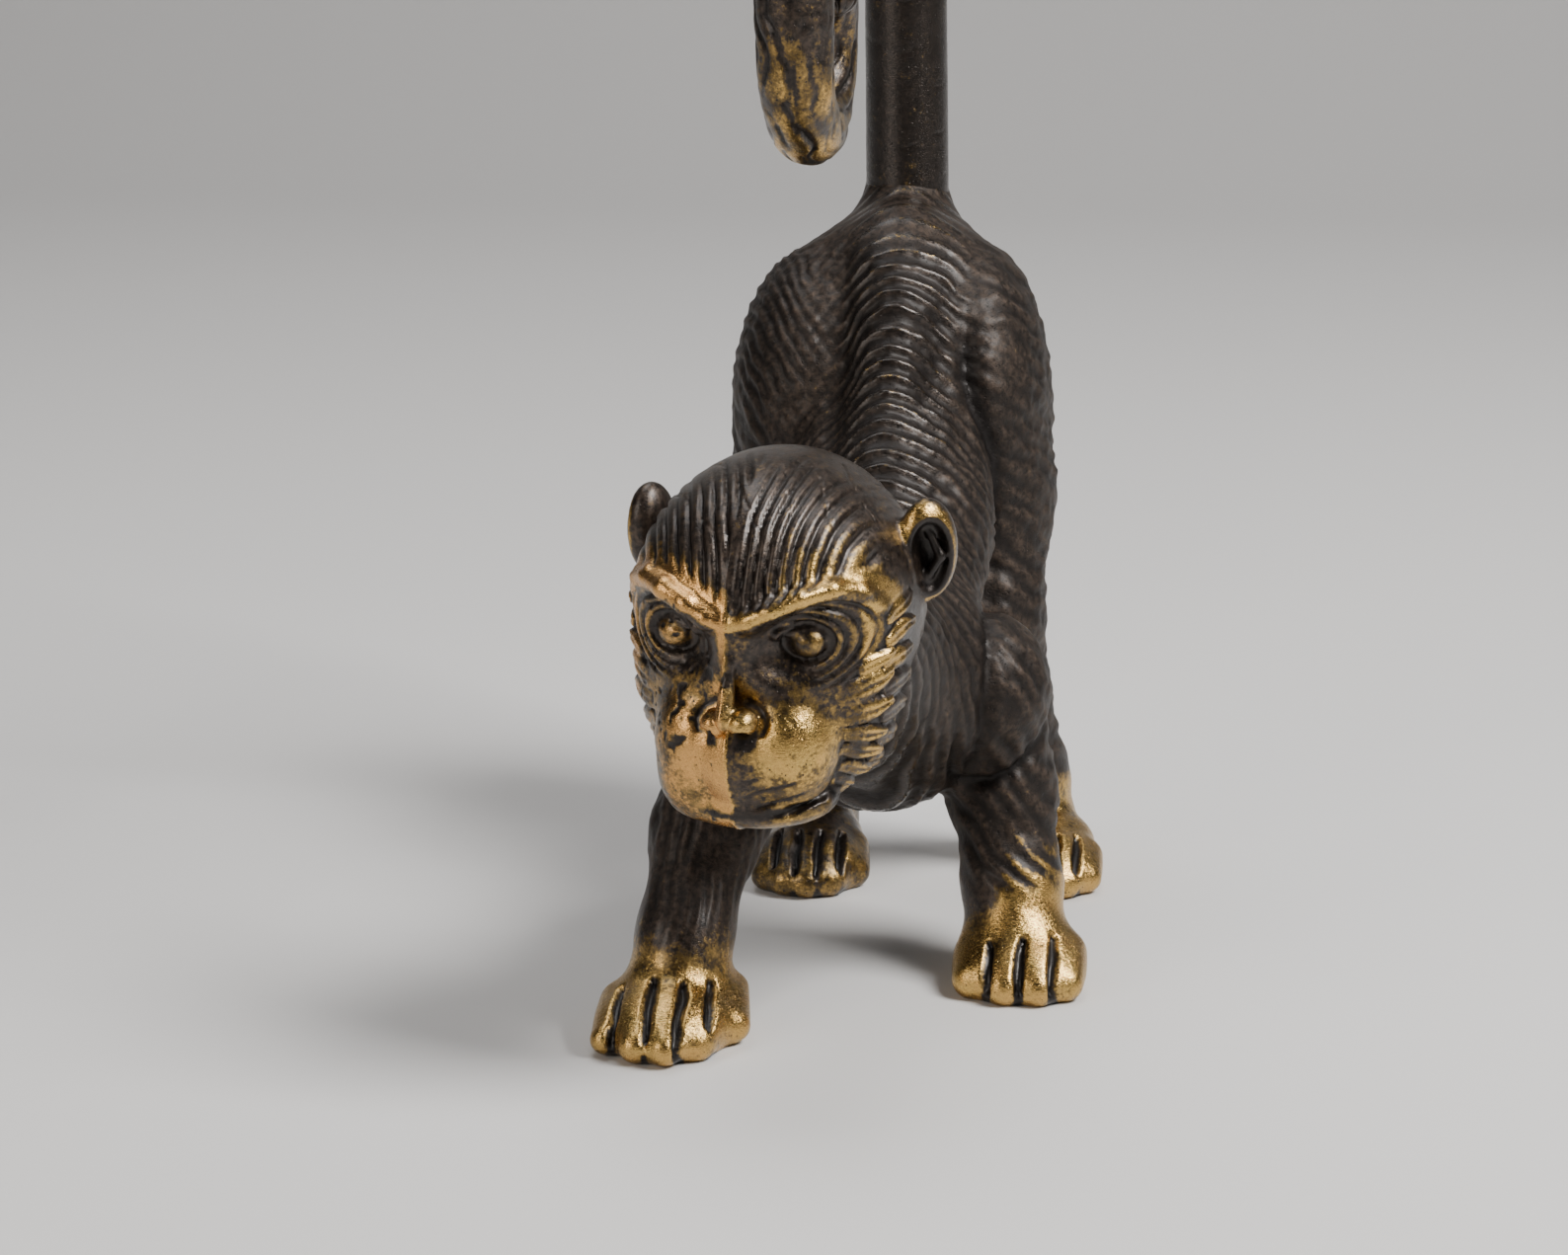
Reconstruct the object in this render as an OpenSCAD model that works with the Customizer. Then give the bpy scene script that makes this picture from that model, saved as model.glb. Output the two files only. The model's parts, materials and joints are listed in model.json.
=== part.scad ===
// Cast brass monkey walking on all fours, tail raised in an arch that ends in a curl.
// The monkey faces -Y, its left side is +X, and its soles stand on Z = 0.

/* [Trunk] */
// Height of the spine in front of the tail
rump_h = 107; // [103:0.5:110]
// Height of the spine at the shoulders
withers_h = 60; // [57:0.5:62]
// Width over the two thighs
hip_w = 51; // [48:0.5:54]
// Thickness of the hollow-cast walls
wall = 3.2; // [2.6:0.1:3.6]

/* [Head] */
// Width of the skull at the temples
skull_w = 39; // [37:0.5:41]
// Turn of the head to the monkey's right, in degrees
head_turn = 16; // [10:1:20]
// Downward tilt of the head, in degrees
head_tilt = 8; // [4:1:10]
// Radius of an eyeball
eye_r = 2.7; // [2.2:0.1:3]

/* [Limbs] */
// Width of an open hand
hand_w = 20; // [18:0.5:22]
// Radius of a finger at its tip
finger_r = 2.1; // [1.8:0.1:2.4]
// Radius of the tenon on each limb
tenon_r = 2.5; // [2:0.1:3]
// Lean of the flat face where a limb meets the trunk, in degrees
joint_lean = 8; // [6:0.5:10]

/* [Tail] */
// Height over the top of the tail's arch
overall_h = 218; // [210:1:226]
// Radius of the tail where it rises
tail_root_r = 6.6; // [6:0.1:7]
// Radius of the tail at its tip
tail_tip_r = 2.6; // [2:0.1:3.2]
// Radius of the flared foot of the tail
tail_foot_r = 8.4; // [8:0.1:9]
// Radius of the spigot under the tail
spigot_r = 4; // [3.5:0.1:4.5]

/* [Hidden] */

// The patina and the rubbed brass.
patina = [0.16, 0.12, 0.09];
rubbed = [0.78, 0.58, 0.28];

hull_fn = 28;
braze_gap = 0.05;
far = 200;

// The trunk is drawn about the spine's plane, and this brings the middle of the whole to the origin.
stand = [1.3, 3, 0];

// Trunk stations from chest to rump: centre, then half sizes.
chest_c = [1.5, -12, withers_h - 17.5];
chest_r = [17.5, 17, 17.5];
waist_c = [0.5, 16, (withers_h + rump_h) / 2 - 23];
waist_r = [16.5, 15, 17];
rump_c = [-1.5, 50, rump_h - 29];
rump_r = [hip_w / 2, 25, 29];
neck_c = [-4.5, -36, withers_h - 6];
neck_r = 16.5;

// Limb joints: shoulder, elbow and wrist, or hip, knee and ankle, each a centre and a radius.
arm_left = [[16.2, -10, 43.5, 10.3], [19.5, -6, 26, 8], [21.5, -11, 13.5, 7.4]];
arm_right = [[-14.5, -13, 44, 10.5], [-22.6, -29, 26, 8.2], [-24.2, -41, 13, 6.8]];
leg_left = [[11, 48, 82, 13], [14, 34, 44, 10], [22, 47, 14, 7]];
leg_right = [[-13, 48, 82, 13], [-15.5, 34, 44, 10], [-13, 50, 14, 7]];

// Hands and feet: the middle of the fingertips on the ground, the turn about Z and the length.
hand_left = [23.3, -24.5, 4, 14];
hand_right = [-26.6, -58, -10, 19];
foot_left = [23.6, 27.5, 6, 21];
foot_right = [-14.2, 25.5, -10, 24];

// A point on the flat face where each limb is brazed to the trunk.
arm_face_left = [14.5, -10, 40];
arm_face_right = [-13, -14, 40];
leg_face_left = [11.5, 45, 70];
leg_face_right = [-12, 45, 70];
arm_span = [-31, 7];
leg_span = [22, 90];
neck_face = [-6, -45, 59];
neck_lean = 65;

head_c = [-8.7, -57, 64];
skull_r = skull_w / 2;
seat_z = rump_h - 6;
tail_root = [0, 57, seat_z];
arch_rx = 46.5;
arch_mid_z = 156;
arch_rz = overall_h - arch_mid_z - 5.95;

// ---- helpers ----

module ball(b) translate([b[0], b[1], b[2]]) sphere(r = b[3], $fn = hull_fn);
module egg(c, r) translate(c) scale(r) sphere(r = 1, $fn = hull_fn);
module bone(a, b) hull() { ball(a); ball(b); }
module block(x, y, z) translate([x[0], y[0], z[0]]) cube([x[1] - x[0], y[1] - y[0], z[1] - z[0]]);

module left_side() block([0, far], [-far, far], [-far, far]);
module right_side() block([-far, 0], [-far, far], [-far, far]);
module ground() block([-far, far], [-far, far], [-far, 0]);

// The space on the limb's side of its brazed face, and the space on the trunk's side.
module on_face(p, side) translate([p[0], 0, p[2]]) rotate([0, side * joint_lean, 0]) children();
module outboard(p, side, span) on_face(p, side) block(side > 0 ? [0, far] : [-far, 0], span, [-far, far]);
module inboard(p, side) on_face(p, side) block(side > 0 ? [-far, 0] : [0, far], [-far, far], [-far, far]);

// A pin square to the brazed face, reaching into the trunk's wall and hollow.
module tenon(p, side, r, l)
    translate(p) rotate([0, side * joint_lean, 0]) rotate([0, side * 90, 0])
        translate([0, 0, -l]) cylinder(r = r, h = l + 3, $fn = 32);

// ---- trunk ----

module trunk_skin() {
    hull() { egg(chest_c, chest_r); egg(waist_c, waist_r); }
    hull() { egg(waist_c, waist_r); egg(rump_c, rump_r); }
    hull() { egg(chest_c, chest_r * 0.9); ball([each neck_c, neck_r]); }
}

// The hollow follows the skin and keeps inside the flat faces of the limbs.
module trunk_core() {
    inner_chest = chest_r - [2.3, 1.2, 1.2] * wall;
    inner_waist = waist_r - [2.3, 1.2, 1.3] * wall;
    hull() { egg(chest_c, inner_chest); egg(waist_c, inner_waist); }
    hull() {
        egg(waist_c, inner_waist);
        egg(rump_c + [1.5, -1, -3], [11.5 - wall, rump_r[1] - 1.3 * wall, rump_r[2] - 2.4 * wall]);
    }
}

module limb_cut(p, side, span) {
    outboard(p, side, span);
    tenon(p, side, tenon_r + braze_gap, wall + 2.5);
}

module trunk_body()
    difference() {
        trunk_skin();
        trunk_core();
        limb_cut(arm_face_left, 1, arm_span);
        limb_cut(arm_face_right, -1, arm_span);
        limb_cut(leg_face_left, 1, leg_span);
        limb_cut(leg_face_right, -1, leg_span);
        in_front_of_neck();
        tail_seat();
    }

module trunk_left() color(patina) translate(stand) intersection() { trunk_body(); left_side(); }
module trunk_right() color(patina) translate(stand) intersection() { trunk_body(); right_side(); }

// The seat for the tail: a round land for its flared foot and a blind bore for the spigot.
module tail_seat() {
    translate(tail_root) cylinder(r = tail_foot_r + braze_gap, h = 30, $fn = 64);
    translate(tail_root - [0, 0, 8]) cylinder(r = spigot_r + braze_gap, h = 10, $fn = 48);
}

// ---- head ----

module in_front_of_neck()
    translate(neck_face) rotate([0, 0, -head_turn / 2]) rotate([neck_lean, 0, 0])
        block([-far, far], [-far, far], [0, far]);

module in_head_frame() translate(head_c) rotate([0, 0, -head_turn]) rotate([head_tilt, 0, 0]) children();

module head_skin() {
    hull() { egg([0, 3, 3], [skull_r, 21, 21]); egg([0, -5, -4], [skull_r * 0.94, 14, 15]); }
    hull() { egg([0, -7, -9], [15, 12, 12]); egg([0, -16, -13], [11, 9, 9.5]); }
    hull() for (s = [-1, 1]) translate([s * 9, -14.5, 10.2]) sphere(r = 4.4, $fn = 24);
    hull() egg([0, -20.5, -4], [2.6, 5, 8]);
}

module eye_socket(s) translate([s * 9.6, -19.5, 3]) scale([6, 4, 4]) sphere(r = 1, $fn = 32);
module eyeball(s) translate([s * 9.5, -16, 3]) sphere(r = eye_r, $fn = 32);
module nostril(s) translate([s * 2, -26.5, -8.2]) sphere(r = 1.1, $fn = 16);

module head_core() hull() {
    egg([0, 3, 3], [skull_r - wall, 21 - wall, 21 - wall]);
    egg([0, -5, -7], [11, 8.5, 9]);
}

module head_body() {
    difference() {
        intersection() { in_head_frame() head_skin(); in_front_of_neck(); }
        intersection() {
            in_head_frame() head_core();
            translate([0, -wall * 0.9, wall * 0.45]) in_front_of_neck();
        }
        in_head_frame() for (s = [-1, 1]) { eye_socket(s); nostril(s); }
        in_head_frame() hull() egg([0, -25, -17.5], [10, 6, 0.7]);
    }
    in_head_frame() for (s = [-1, 1]) eyeball(s);
}

module head_left() color(rubbed) translate(stand) intersection() { head_body(); in_head_frame() left_side(); }
module head_right() color(rubbed) translate(stand) intersection() { head_body(); in_head_frame() right_side(); }

// ---- ears ----

// A round cup that opens forwards, trimmed to the side of the skull.
module ear()
    difference() {
        translate([-skull_r - 0.4, 7.5, 9]) rotate([0, 0, -24]) difference() {
            scale([5.4, 3, 8.2]) sphere(r = 1, $fn = 32);
            translate([-0.3, -2.4, 0]) scale([4, 3.2, 6.6]) sphere(r = 1, $fn = 32);
        }
        translate([0, 3, 3]) scale([skull_r + 0.1, 21.1, 21.1]) sphere(r = 1, $fn = 64);
    }

module ear_left() color(rubbed) translate(stand) in_head_frame() mirror([1, 0, 0]) ear();
module ear_right() color(rubbed) translate(stand) in_head_frame() ear();

// ---- limbs ----

// One finger or toe: a tapered rod with a round tip, lying forwards and down to the ground.
module finger(x, y, l, turn, r)
    translate([x, y, r * 0.8]) rotate([0, 0, turn]) {
        sphere(r = r, $fn = 24);
        rotate([-76, 0, 0]) cylinder(r1 = r, r2 = r * 1.3, h = l, $fn = 24);
    }

// Five fingers in a shallow arc, tips at y = 0 in the middle, in front of a low palm.
module hand(at)
    translate([at[0], at[1], 0]) rotate([0, 0, at[2]]) {
        for (i = [-2 : 2]) finger(i * hand_w * 0.205, finger_r + abs(i) * abs(i) * 0.7, 9, i * 5, finger_r);
        hull() {
            translate([0, at[3] * 0.62, 3.6]) scale([hand_w * 0.42, 5.5, 4.6]) sphere(r = 1, $fn = 28);
            translate([0, at[3], 6]) scale([7, 6, 6.2]) sphere(r = 1, $fn = 28);
        }
    }

module limb(chain, at, face, side, span)
    translate(stand) difference() {
        union() {
            intersection() { trunk_skin(); outboard(face, side, span); }
            difference() {
                union() {
                    bone(chain[0], chain[1]);
                    bone(chain[1], chain[2]);
                    hull() {
                        ball(chain[2]);
                        translate([at[0], at[1], 0]) rotate([0, 0, at[2]]) ball([0, at[3], 6, 6]);
                    }
                    hand(at);
                }
                inboard(face, side);
            }
            tenon(face, side, tenon_r, wall + 2);
        }
        ground();
        tail_seat();
    }

module foreleg_left() color(patina) limb(arm_left, hand_left, arm_face_left, 1, arm_span);
module foreleg_right() color(patina) limb(arm_right, hand_right, arm_face_right, -1, arm_span);
module hindleg_left() color(patina) limb(leg_left, foot_left, leg_face_left, 1, leg_span);
module hindleg_right() color(patina) limb(leg_right, foot_right, leg_face_right, -1, leg_span);

// ---- tail ----

// Three runs make the centre line: the rise, an arch on half an ellipse, and a drop into the curl.
// The curl's radius shrinks towards the tip.
curl_c = [-7.2, -21, 138.7];
function rise(t) = [-t, 57 + 4 * t - 2 * t * t, seat_z + 3 + (arch_mid_z - seat_z - 3) * t];
function arch(t) = [-1 - 8 * t, 59 - arch_rx * (1 - cos(180 * t)), arch_mid_z + arch_rz * sin(180 * t)];
function drop(t) = [-9 + 0.2 * t, -34 - t * (1 - t), arch_mid_z - (arch_mid_z - curl_c[2]) * t];
function curl_r(t) = 13 * (1 - 0.6 * t);
function curl(t) = [curl_c[0] - 1.6 + 5 * t, curl_c[1] + 3 * t - curl_r(t) * cos(335 * t),
                    curl_c[2] + 3 * t - curl_r(t) * sin(335 * t)];

centre_line = concat(
    [for (i = [0 : 7]) rise(i / 8)],
    [for (i = [0 : 27]) arch(i / 28)],
    [for (i = [0 : 3]) drop(i / 4)],
    [for (i = [0 : 27]) curl(i / 27)]);
rings = len(centre_line);
sides = 16;

function unit(v) = v / norm(v);
function heading(i) = unit(centre_line[min(i + 1, rings - 1)] - centre_line[max(i - 1, 0)]);
function girth(i) = let (t = i / (rings - 1)) tail_root_r - (tail_root_r - 5.2) * t - (5.2 - tail_tip_r) * pow(t, 7);
function ring(i) = let (h = heading(i), a = unit(cross(h, [1, 0, 0])), b = cross(h, a))
    [for (k = [0 : sides - 1]) centre_line[i] + girth(i) * (cos(360 * k / sides) * a + sin(360 * k / sides) * b)];

module tail_rod()
    polyhedron(
        points = [for (i = [0 : rings - 1]) each ring(i)],
        faces = concat(
            [[for (k = [0 : sides - 1]) k]],
            [for (i = [0 : rings - 2], k = [0 : sides - 1])
                [i * sides + k, (i + 1) * sides + k, (i + 1) * sides + (k + 1) % sides, i * sides + (k + 1) % sides]],
            [[for (k = [0 : sides - 1]) rings * sides - 1 - k]]));

// The foot flares from the rod to the seat on a quarter of an ellipse.
module tail_foot()
    translate(tail_root) rotate_extrude($fn = 64)
        polygon([[0, 0], for (i = [0 : 10]) [tail_foot_r - (tail_foot_r - tail_root_r + 0.4) * sin(9 * i), 8 * (1 - cos(9 * i))],
                 [0, 8]]);

module tail() color(patina) translate(stand) {
    tail_rod();
    tail_foot();
    translate(tail_root - [0, 0, 7.5]) cylinder(r = spigot_r, h = 9, $fn = 48);
}

trunk_left();
trunk_right();
head_left();
head_right();
ear_left();
ear_right();
foreleg_left();
foreleg_right();
hindleg_left();
hindleg_right();
tail();
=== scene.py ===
# %% [markdown]
# # A cast brass monkey, walking
# The real thing is a hand-finished brass casting about a hand's length long. It was modelled in wax,
# cast, chased with fine lines for fur, darkened all over, and then rubbed bright on the face and hands.
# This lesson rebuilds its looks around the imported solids. All lengths in the sculpting cells are in
# millimetres about the spine, and the last step turns them into metres in the model's own frame.

# %% Load the frame
import json
import math
import bmesh
import bpy
import numpy as np
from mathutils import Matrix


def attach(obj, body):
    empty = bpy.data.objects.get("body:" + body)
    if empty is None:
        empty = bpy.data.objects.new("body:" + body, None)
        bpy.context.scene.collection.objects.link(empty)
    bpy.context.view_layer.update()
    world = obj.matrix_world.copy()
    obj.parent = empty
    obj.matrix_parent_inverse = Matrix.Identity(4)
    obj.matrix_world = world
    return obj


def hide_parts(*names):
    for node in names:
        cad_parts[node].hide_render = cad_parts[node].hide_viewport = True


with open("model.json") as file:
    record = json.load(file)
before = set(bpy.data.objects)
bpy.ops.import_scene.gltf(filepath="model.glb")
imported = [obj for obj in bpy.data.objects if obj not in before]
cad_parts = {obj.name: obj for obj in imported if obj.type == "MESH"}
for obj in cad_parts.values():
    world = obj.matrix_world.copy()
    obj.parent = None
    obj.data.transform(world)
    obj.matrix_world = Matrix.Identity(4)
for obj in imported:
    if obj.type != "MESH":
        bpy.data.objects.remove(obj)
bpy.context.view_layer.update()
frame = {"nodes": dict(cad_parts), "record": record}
stand = np.array([1.3, 3.0, 0.0])      # from the spine's frame to the model's frame, mm
print("nodes:", sorted(frame["nodes"]))

# %% [markdown]
# ## The maker's kit of soft forms
# A wax model grows from lumps pressed together: eggs for the masses, tapered rods for the bones, and
# a thumb to smooth the joins. The same kit works with signed distance, the length from a point to a
# surface, less than nothing inside. It could be done with many spheres and a remesh, but sums on whole
# arrays give the same soft joins exactly, and every piece is then cut from one continuous skin.

# %% Eggs, rods and the thumb that joins them
def egg(p, centre, radii, turn=None):
    """Distance to an ellipsoid: k0 (k0 - 1) / k1, where k0 and k1 are the lengths of the offset over
    the radii and over the radii squared. turn is a matrix whose columns are the egg's own axes."""
    q = p - np.float32(centre)
    if turn is not None:
        q = q @ np.float32(turn)
    q = q / np.float32(radii)
    k0 = np.sqrt((q * q).sum(-1)) + 1e-6
    g = q / np.float32(radii)
    return k0 * (k0 - 1) / (np.sqrt((g * g).sum(-1)) + 1e-6)


def rod(p, a, b, ra, rb):
    """Distance to a tapered rod: the offset from the nearest point of the segment a b, less a radius
    that runs evenly from ra to rb."""
    a, b = np.float32(a), np.float32(b)
    ab = b - a
    t = np.clip(((p - a) @ ab) / (ab @ ab), 0, 1)
    q = p - a - t[..., None] * ab
    return np.sqrt((q * q).sum(-1)) - (ra + (rb - ra) * t)


def meld(parts, k):
    """Joins forms with a fillet: the least distance, less h h k / 4 where h is how far inside the
    fillet's width k the two distances lie."""
    whole = parts[0]
    for d in parts[1:]:
        h = np.maximum(k - np.abs(whole - d), 0) / k
        whole = np.minimum(whole, d) - h * h * k * 0.25
    return whole


def carve(whole, cutter, k):
    """Takes a form away with a rounded edge of width k: the same fillet on the negatives."""
    return -meld([-whole, cutter], k)


def chain(p, joints, k):
    """A limb of tapered rods through joints (x, y, z, radius)."""
    return meld([rod(p, a[:3], b[:3], a[3], b[3]) for a, b in zip(joints, joints[1:])], k)


def spin(axis, degrees):
    """The matrix that turns column vectors about an axis of the frame, by the right-hand rule."""
    c, s = math.cos(math.radians(degrees)), math.sin(math.radians(degrees))
    m = {"x": [[1, 0, 0], [0, c, -s], [0, s, c]], "y": [[c, 0, s], [0, 1, 0], [-s, 0, c]],
         "z": [[c, -s, 0], [s, c, 0], [0, 0, 1]]}[axis]
    return np.array(m)


# %% [markdown]
# ## The trunk
# The body is slung between a low chest and a high rump, with the backbone standing out as a rounded
# ridge and a shallow valley between it and each thigh. Three eggs and two rods make the mass, and a
# thin chain laid along the top makes the backbone.

# %% Trunk form
def trunk_form(p):
    """Chest, waist and rump eggs melded over rods, then the neck, the backbone and the tail's flare."""
    mass = meld([egg(p, (1.5, -12, 43), (16.5, 17, 17.5)), egg(p, (0.5, 16, 60), (14.5, 17, 17)),
                 egg(p, (-0.5, 49, 79), (22.5, 24, 27.2)),
                 rod(p, (1.5, -10, 46), (0, 20, 63), 15, 14),
                 rod(p, (0, 20, 63), (-0.5, 46, 80), 14, 18)], 6)
    mass = meld([mass, rod(p, (0.5, -16, 47), (-6, -42, 56), 16, 16.3)], 7)
    spine = chain(p, [(0, 58, 101, 5), (0, 45, 101.4, 5), (0, 31, 92, 5), (0, 16, 75.5, 5),
                      (1, 0, 63.5, 5), (0, -14, 58, 5), (-3, -28, 61, 5)], 2)
    mass = meld([mass, spine], 4)
    return meld([mass, rod(p, (0, 57, 96), (-0.5, 59, 118), 6.1, 6.1)], 7)


# %% [markdown]
# ## The limbs
# Each limb is a chain of rods with a plump egg where it leaves the body. The right hand reaches well
# ahead and the left is under the shoulder. The fingers are short stout rods pressed side by side
# into one smooth mitten. The slots between them are cut later, with the fur lines.

# %% Limb forms
limbs = {
    "foreleg_left": dict(
        muscle=[((16.4, -10, 43.5), (10.2, 11.5, 11.5))],
        bones=[(16.5, -9, 42, 9), (19.6, -6.5, 27, 7.6), (21.6, -12, 14, 6.8), (22.2, -15, 9, 6.6)],
        palm=[((22.8, -16, 5), (8.8, 7.5, 6.3)), ((23.3, -20, 3.1), (9.2, 7.8, 5.8))],
        digits=[((16.8, -19, 4.6, 2.8), (16.2, -23.6, 2.6, 2.6)),
                ((21, -20.5, 6, 2.7), (21.2, -26.6, 2.5, 2.4)),
                ((26, -20.5, 6.2, 2.6), (26.4, -26.6, 2.5, 2.4)),
                ((30.2, -16.5, 5, 2.5), (30.4, -24, 2.5, 2.3))],
        slots=[((18.9, -20.5, 8), (18.7, -30, 2.2)), ((23.9, -20.5, 9.2), (23.4, -31, 2.2)),
               ((28.5, -17.5, 8.3), (28.3, -30, 2.2))]),
    "foreleg_right": dict(
        muscle=[((-14.8, -12, 44), (10.5, 11.5, 11.5))],
        bones=[(-15, -13, 42, 9.3), (-22.2, -28, 26, 7.6), (-24.2, -39, 13, 6.3), (-24.5, -41, 10, 6.4)],
        palm=[((-25.2, -42, 4.8), (8.6, 7.5, 5.8)), ((-25.4, -48, 3.0), (9.5, 10.6, 5.9))],
        digits=[((-33.4, -44.5, 4.6, 2.2), (-33.6, -55.2, 2.4, 2.1)),
                ((-29.4, -46, 6.4, 2.4), (-29, -58, 2.5, 2.3)),
                ((-25, -46, 7, 2.4), (-24.6, -59, 2.6, 2.4)),
                ((-20.9, -43.5, 6.3, 2.3), (-20.4, -55.6, 2.5, 2.3)),
                ((-17.3, -38.5, 5, 2.3), (-16, -47.8, 2.6, 2.3))],
        slots=[((-32.2, -43, 7.4), (-32.6, -60, 2.2)), ((-27.5, -43.2, 8.9), (-27.3, -62, 2.2)),
               ((-22.9, -43.5, 9.2), (-22.8, -63, 2.2)), ((-19.3, -42.5, 7.6), (-18.7, -57.5, 2.2))]),
    "hindleg_left": dict(
        muscle=[((12.6, 47, 75), (11.4, 21, 24.2)), ((13.5, 42, 62), (10.6, 13, 16))],
        bones=[(13.5, 42, 62, 10.4), (14, 36, 44, 9), (20.5, 46, 15, 6.3), (22, 48, 9, 6)],
        palm=[((24.3, 41, 4.4), (7.8, 9, 5.8)), ((22.8, 50, 4), (6, 6, 5.4)),
              ((24.6, 33.6, 3.0), (7.9, 8.4, 5.2))],
        digits=[((31, 36, 4.2, 2.3), (31.4, 30, 2.4, 2.1)),
                ((27.9, 33, 5.2, 2.3), (28.2, 27, 2.5, 2.2)),
                ((24.5, 32, 5.4, 2.3), (24.8, 25.5, 2.5, 2.2)),
                ((21.1, 33, 5, 2.3), (21, 27, 2.5, 2.2)),
                ((18, 38, 4.4, 2.3), (16.9, 31.5, 2.4, 2.2))],
        slots=[((29.4, 38, 7), (29.8, 25, 2.2)), ((26.2, 36.5, 7.8), (26.5, 23, 2.2)),
               ((22.8, 36.5, 7.8), (22.8, 23, 2.2)), ((19.6, 38, 7), (18.9, 26, 2.2))]),
    "hindleg_right": dict(
        muscle=[((-15, 46, 75), (11.8, 21, 24.2)), ((-14.5, 42, 62), (10.6, 13, 16))],
        bones=[(-14.5, 42, 62, 10.4), (-15.5, 35, 44, 9), (-13.5, 48, 15, 6.6), (-13.2, 50, 9, 6.2)],
        palm=[((-12.8, 39.5, 4.6), (7.6, 9.5, 6)), ((-13, 50, 4), (6, 6, 5.4)),
              ((-12.8, 31, 3.0), (8.1, 8.6, 5.4))],
        digits=[((-19.4, 33, 4.4, 2.3), (-19.6, 26, 2.4, 2.2)),
                ((-16.3, 31, 5.4, 2.4), (-16.4, 23.6, 2.5, 2.3)),
                ((-12.8, 30, 5.8, 2.4), (-12.7, 22.8, 2.5, 2.3)),
                ((-9.4, 31, 5.2, 2.4), (-9.1, 24.2, 2.5, 2.2)),
                ((-6.4, 36, 4.4, 2.3), (-5.6, 30, 2.4, 2.2))],
        slots=[((-17.9, 36, 7.4), (-18, 22, 2.2)), ((-14.6, 34.5, 8.2), (-14.6, 20, 2.2)),
               ((-11.1, 34.5, 8.2), (-11, 20, 2.2)), ((-7.9, 36.5, 7.4), (-7.4, 22, 2.2))])}


def limb_form(p, limb):
    """Muscle eggs and bone rods melded widely, then the paw: palm and plump digits melded so closely
    that they make one mitten with scalloped tips."""
    upper = meld([egg(p, c, r) for c, r in limb["muscle"]] + [chain(p, limb["bones"], 4)], 4)
    paw = p[:, 2] < 20
    if paw.any():
        q = p[paw]
        palm = meld([egg(q, c, r) for c, r in limb["palm"]], 2.5)
        fingers = meld([rod(q, a[:3], b[:3], a[3] + 0.1, b[3] + 0.05) for a, b in limb["digits"]], 2.2)
        upper[paw] = meld([upper[paw], meld([palm, fingers], 2.4)], 3)
    return upper


# %% [markdown]
# ## The head
# The face is the heart of the piece: a domed skull, heavy brows that meet in a V over a thin nose,
# deep eyes with lids like ripples, and a swollen muzzle over a wide mouth. It is drawn in the head's
# own frame, x across, y towards the back and z up, because the face is nearly the same on both sides
# there, so a form on |x| makes both cheeks at once.

# %% Head form, in the head's own frame
head_centre = np.array([-8.7, -57.0, 64.0])
head_turn = spin("z", -13.5) @ spin("x", 8)
brow_line = [(0, -18.7, 7.1, 1.2), (3, -19.2, 8.0, 1.4), (6, -18.9, 9.7, 1.4), (9.5, -17.3, 11.1, 1.4),
             (13, -14, 11.4, 1.4), (15.8, -10.3, 9.7, 1.3), (17.3, -7, 6, 1.2), (17.6, -6.4, 1.5, 1.0),
             (16.6, -8, -2, 0.7)]


def to_head(p):
    """Points of the spine's frame in the head's frame: the offset from its centre, turned back."""
    return ((p - head_centre) @ head_turn).astype(np.float32)


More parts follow.
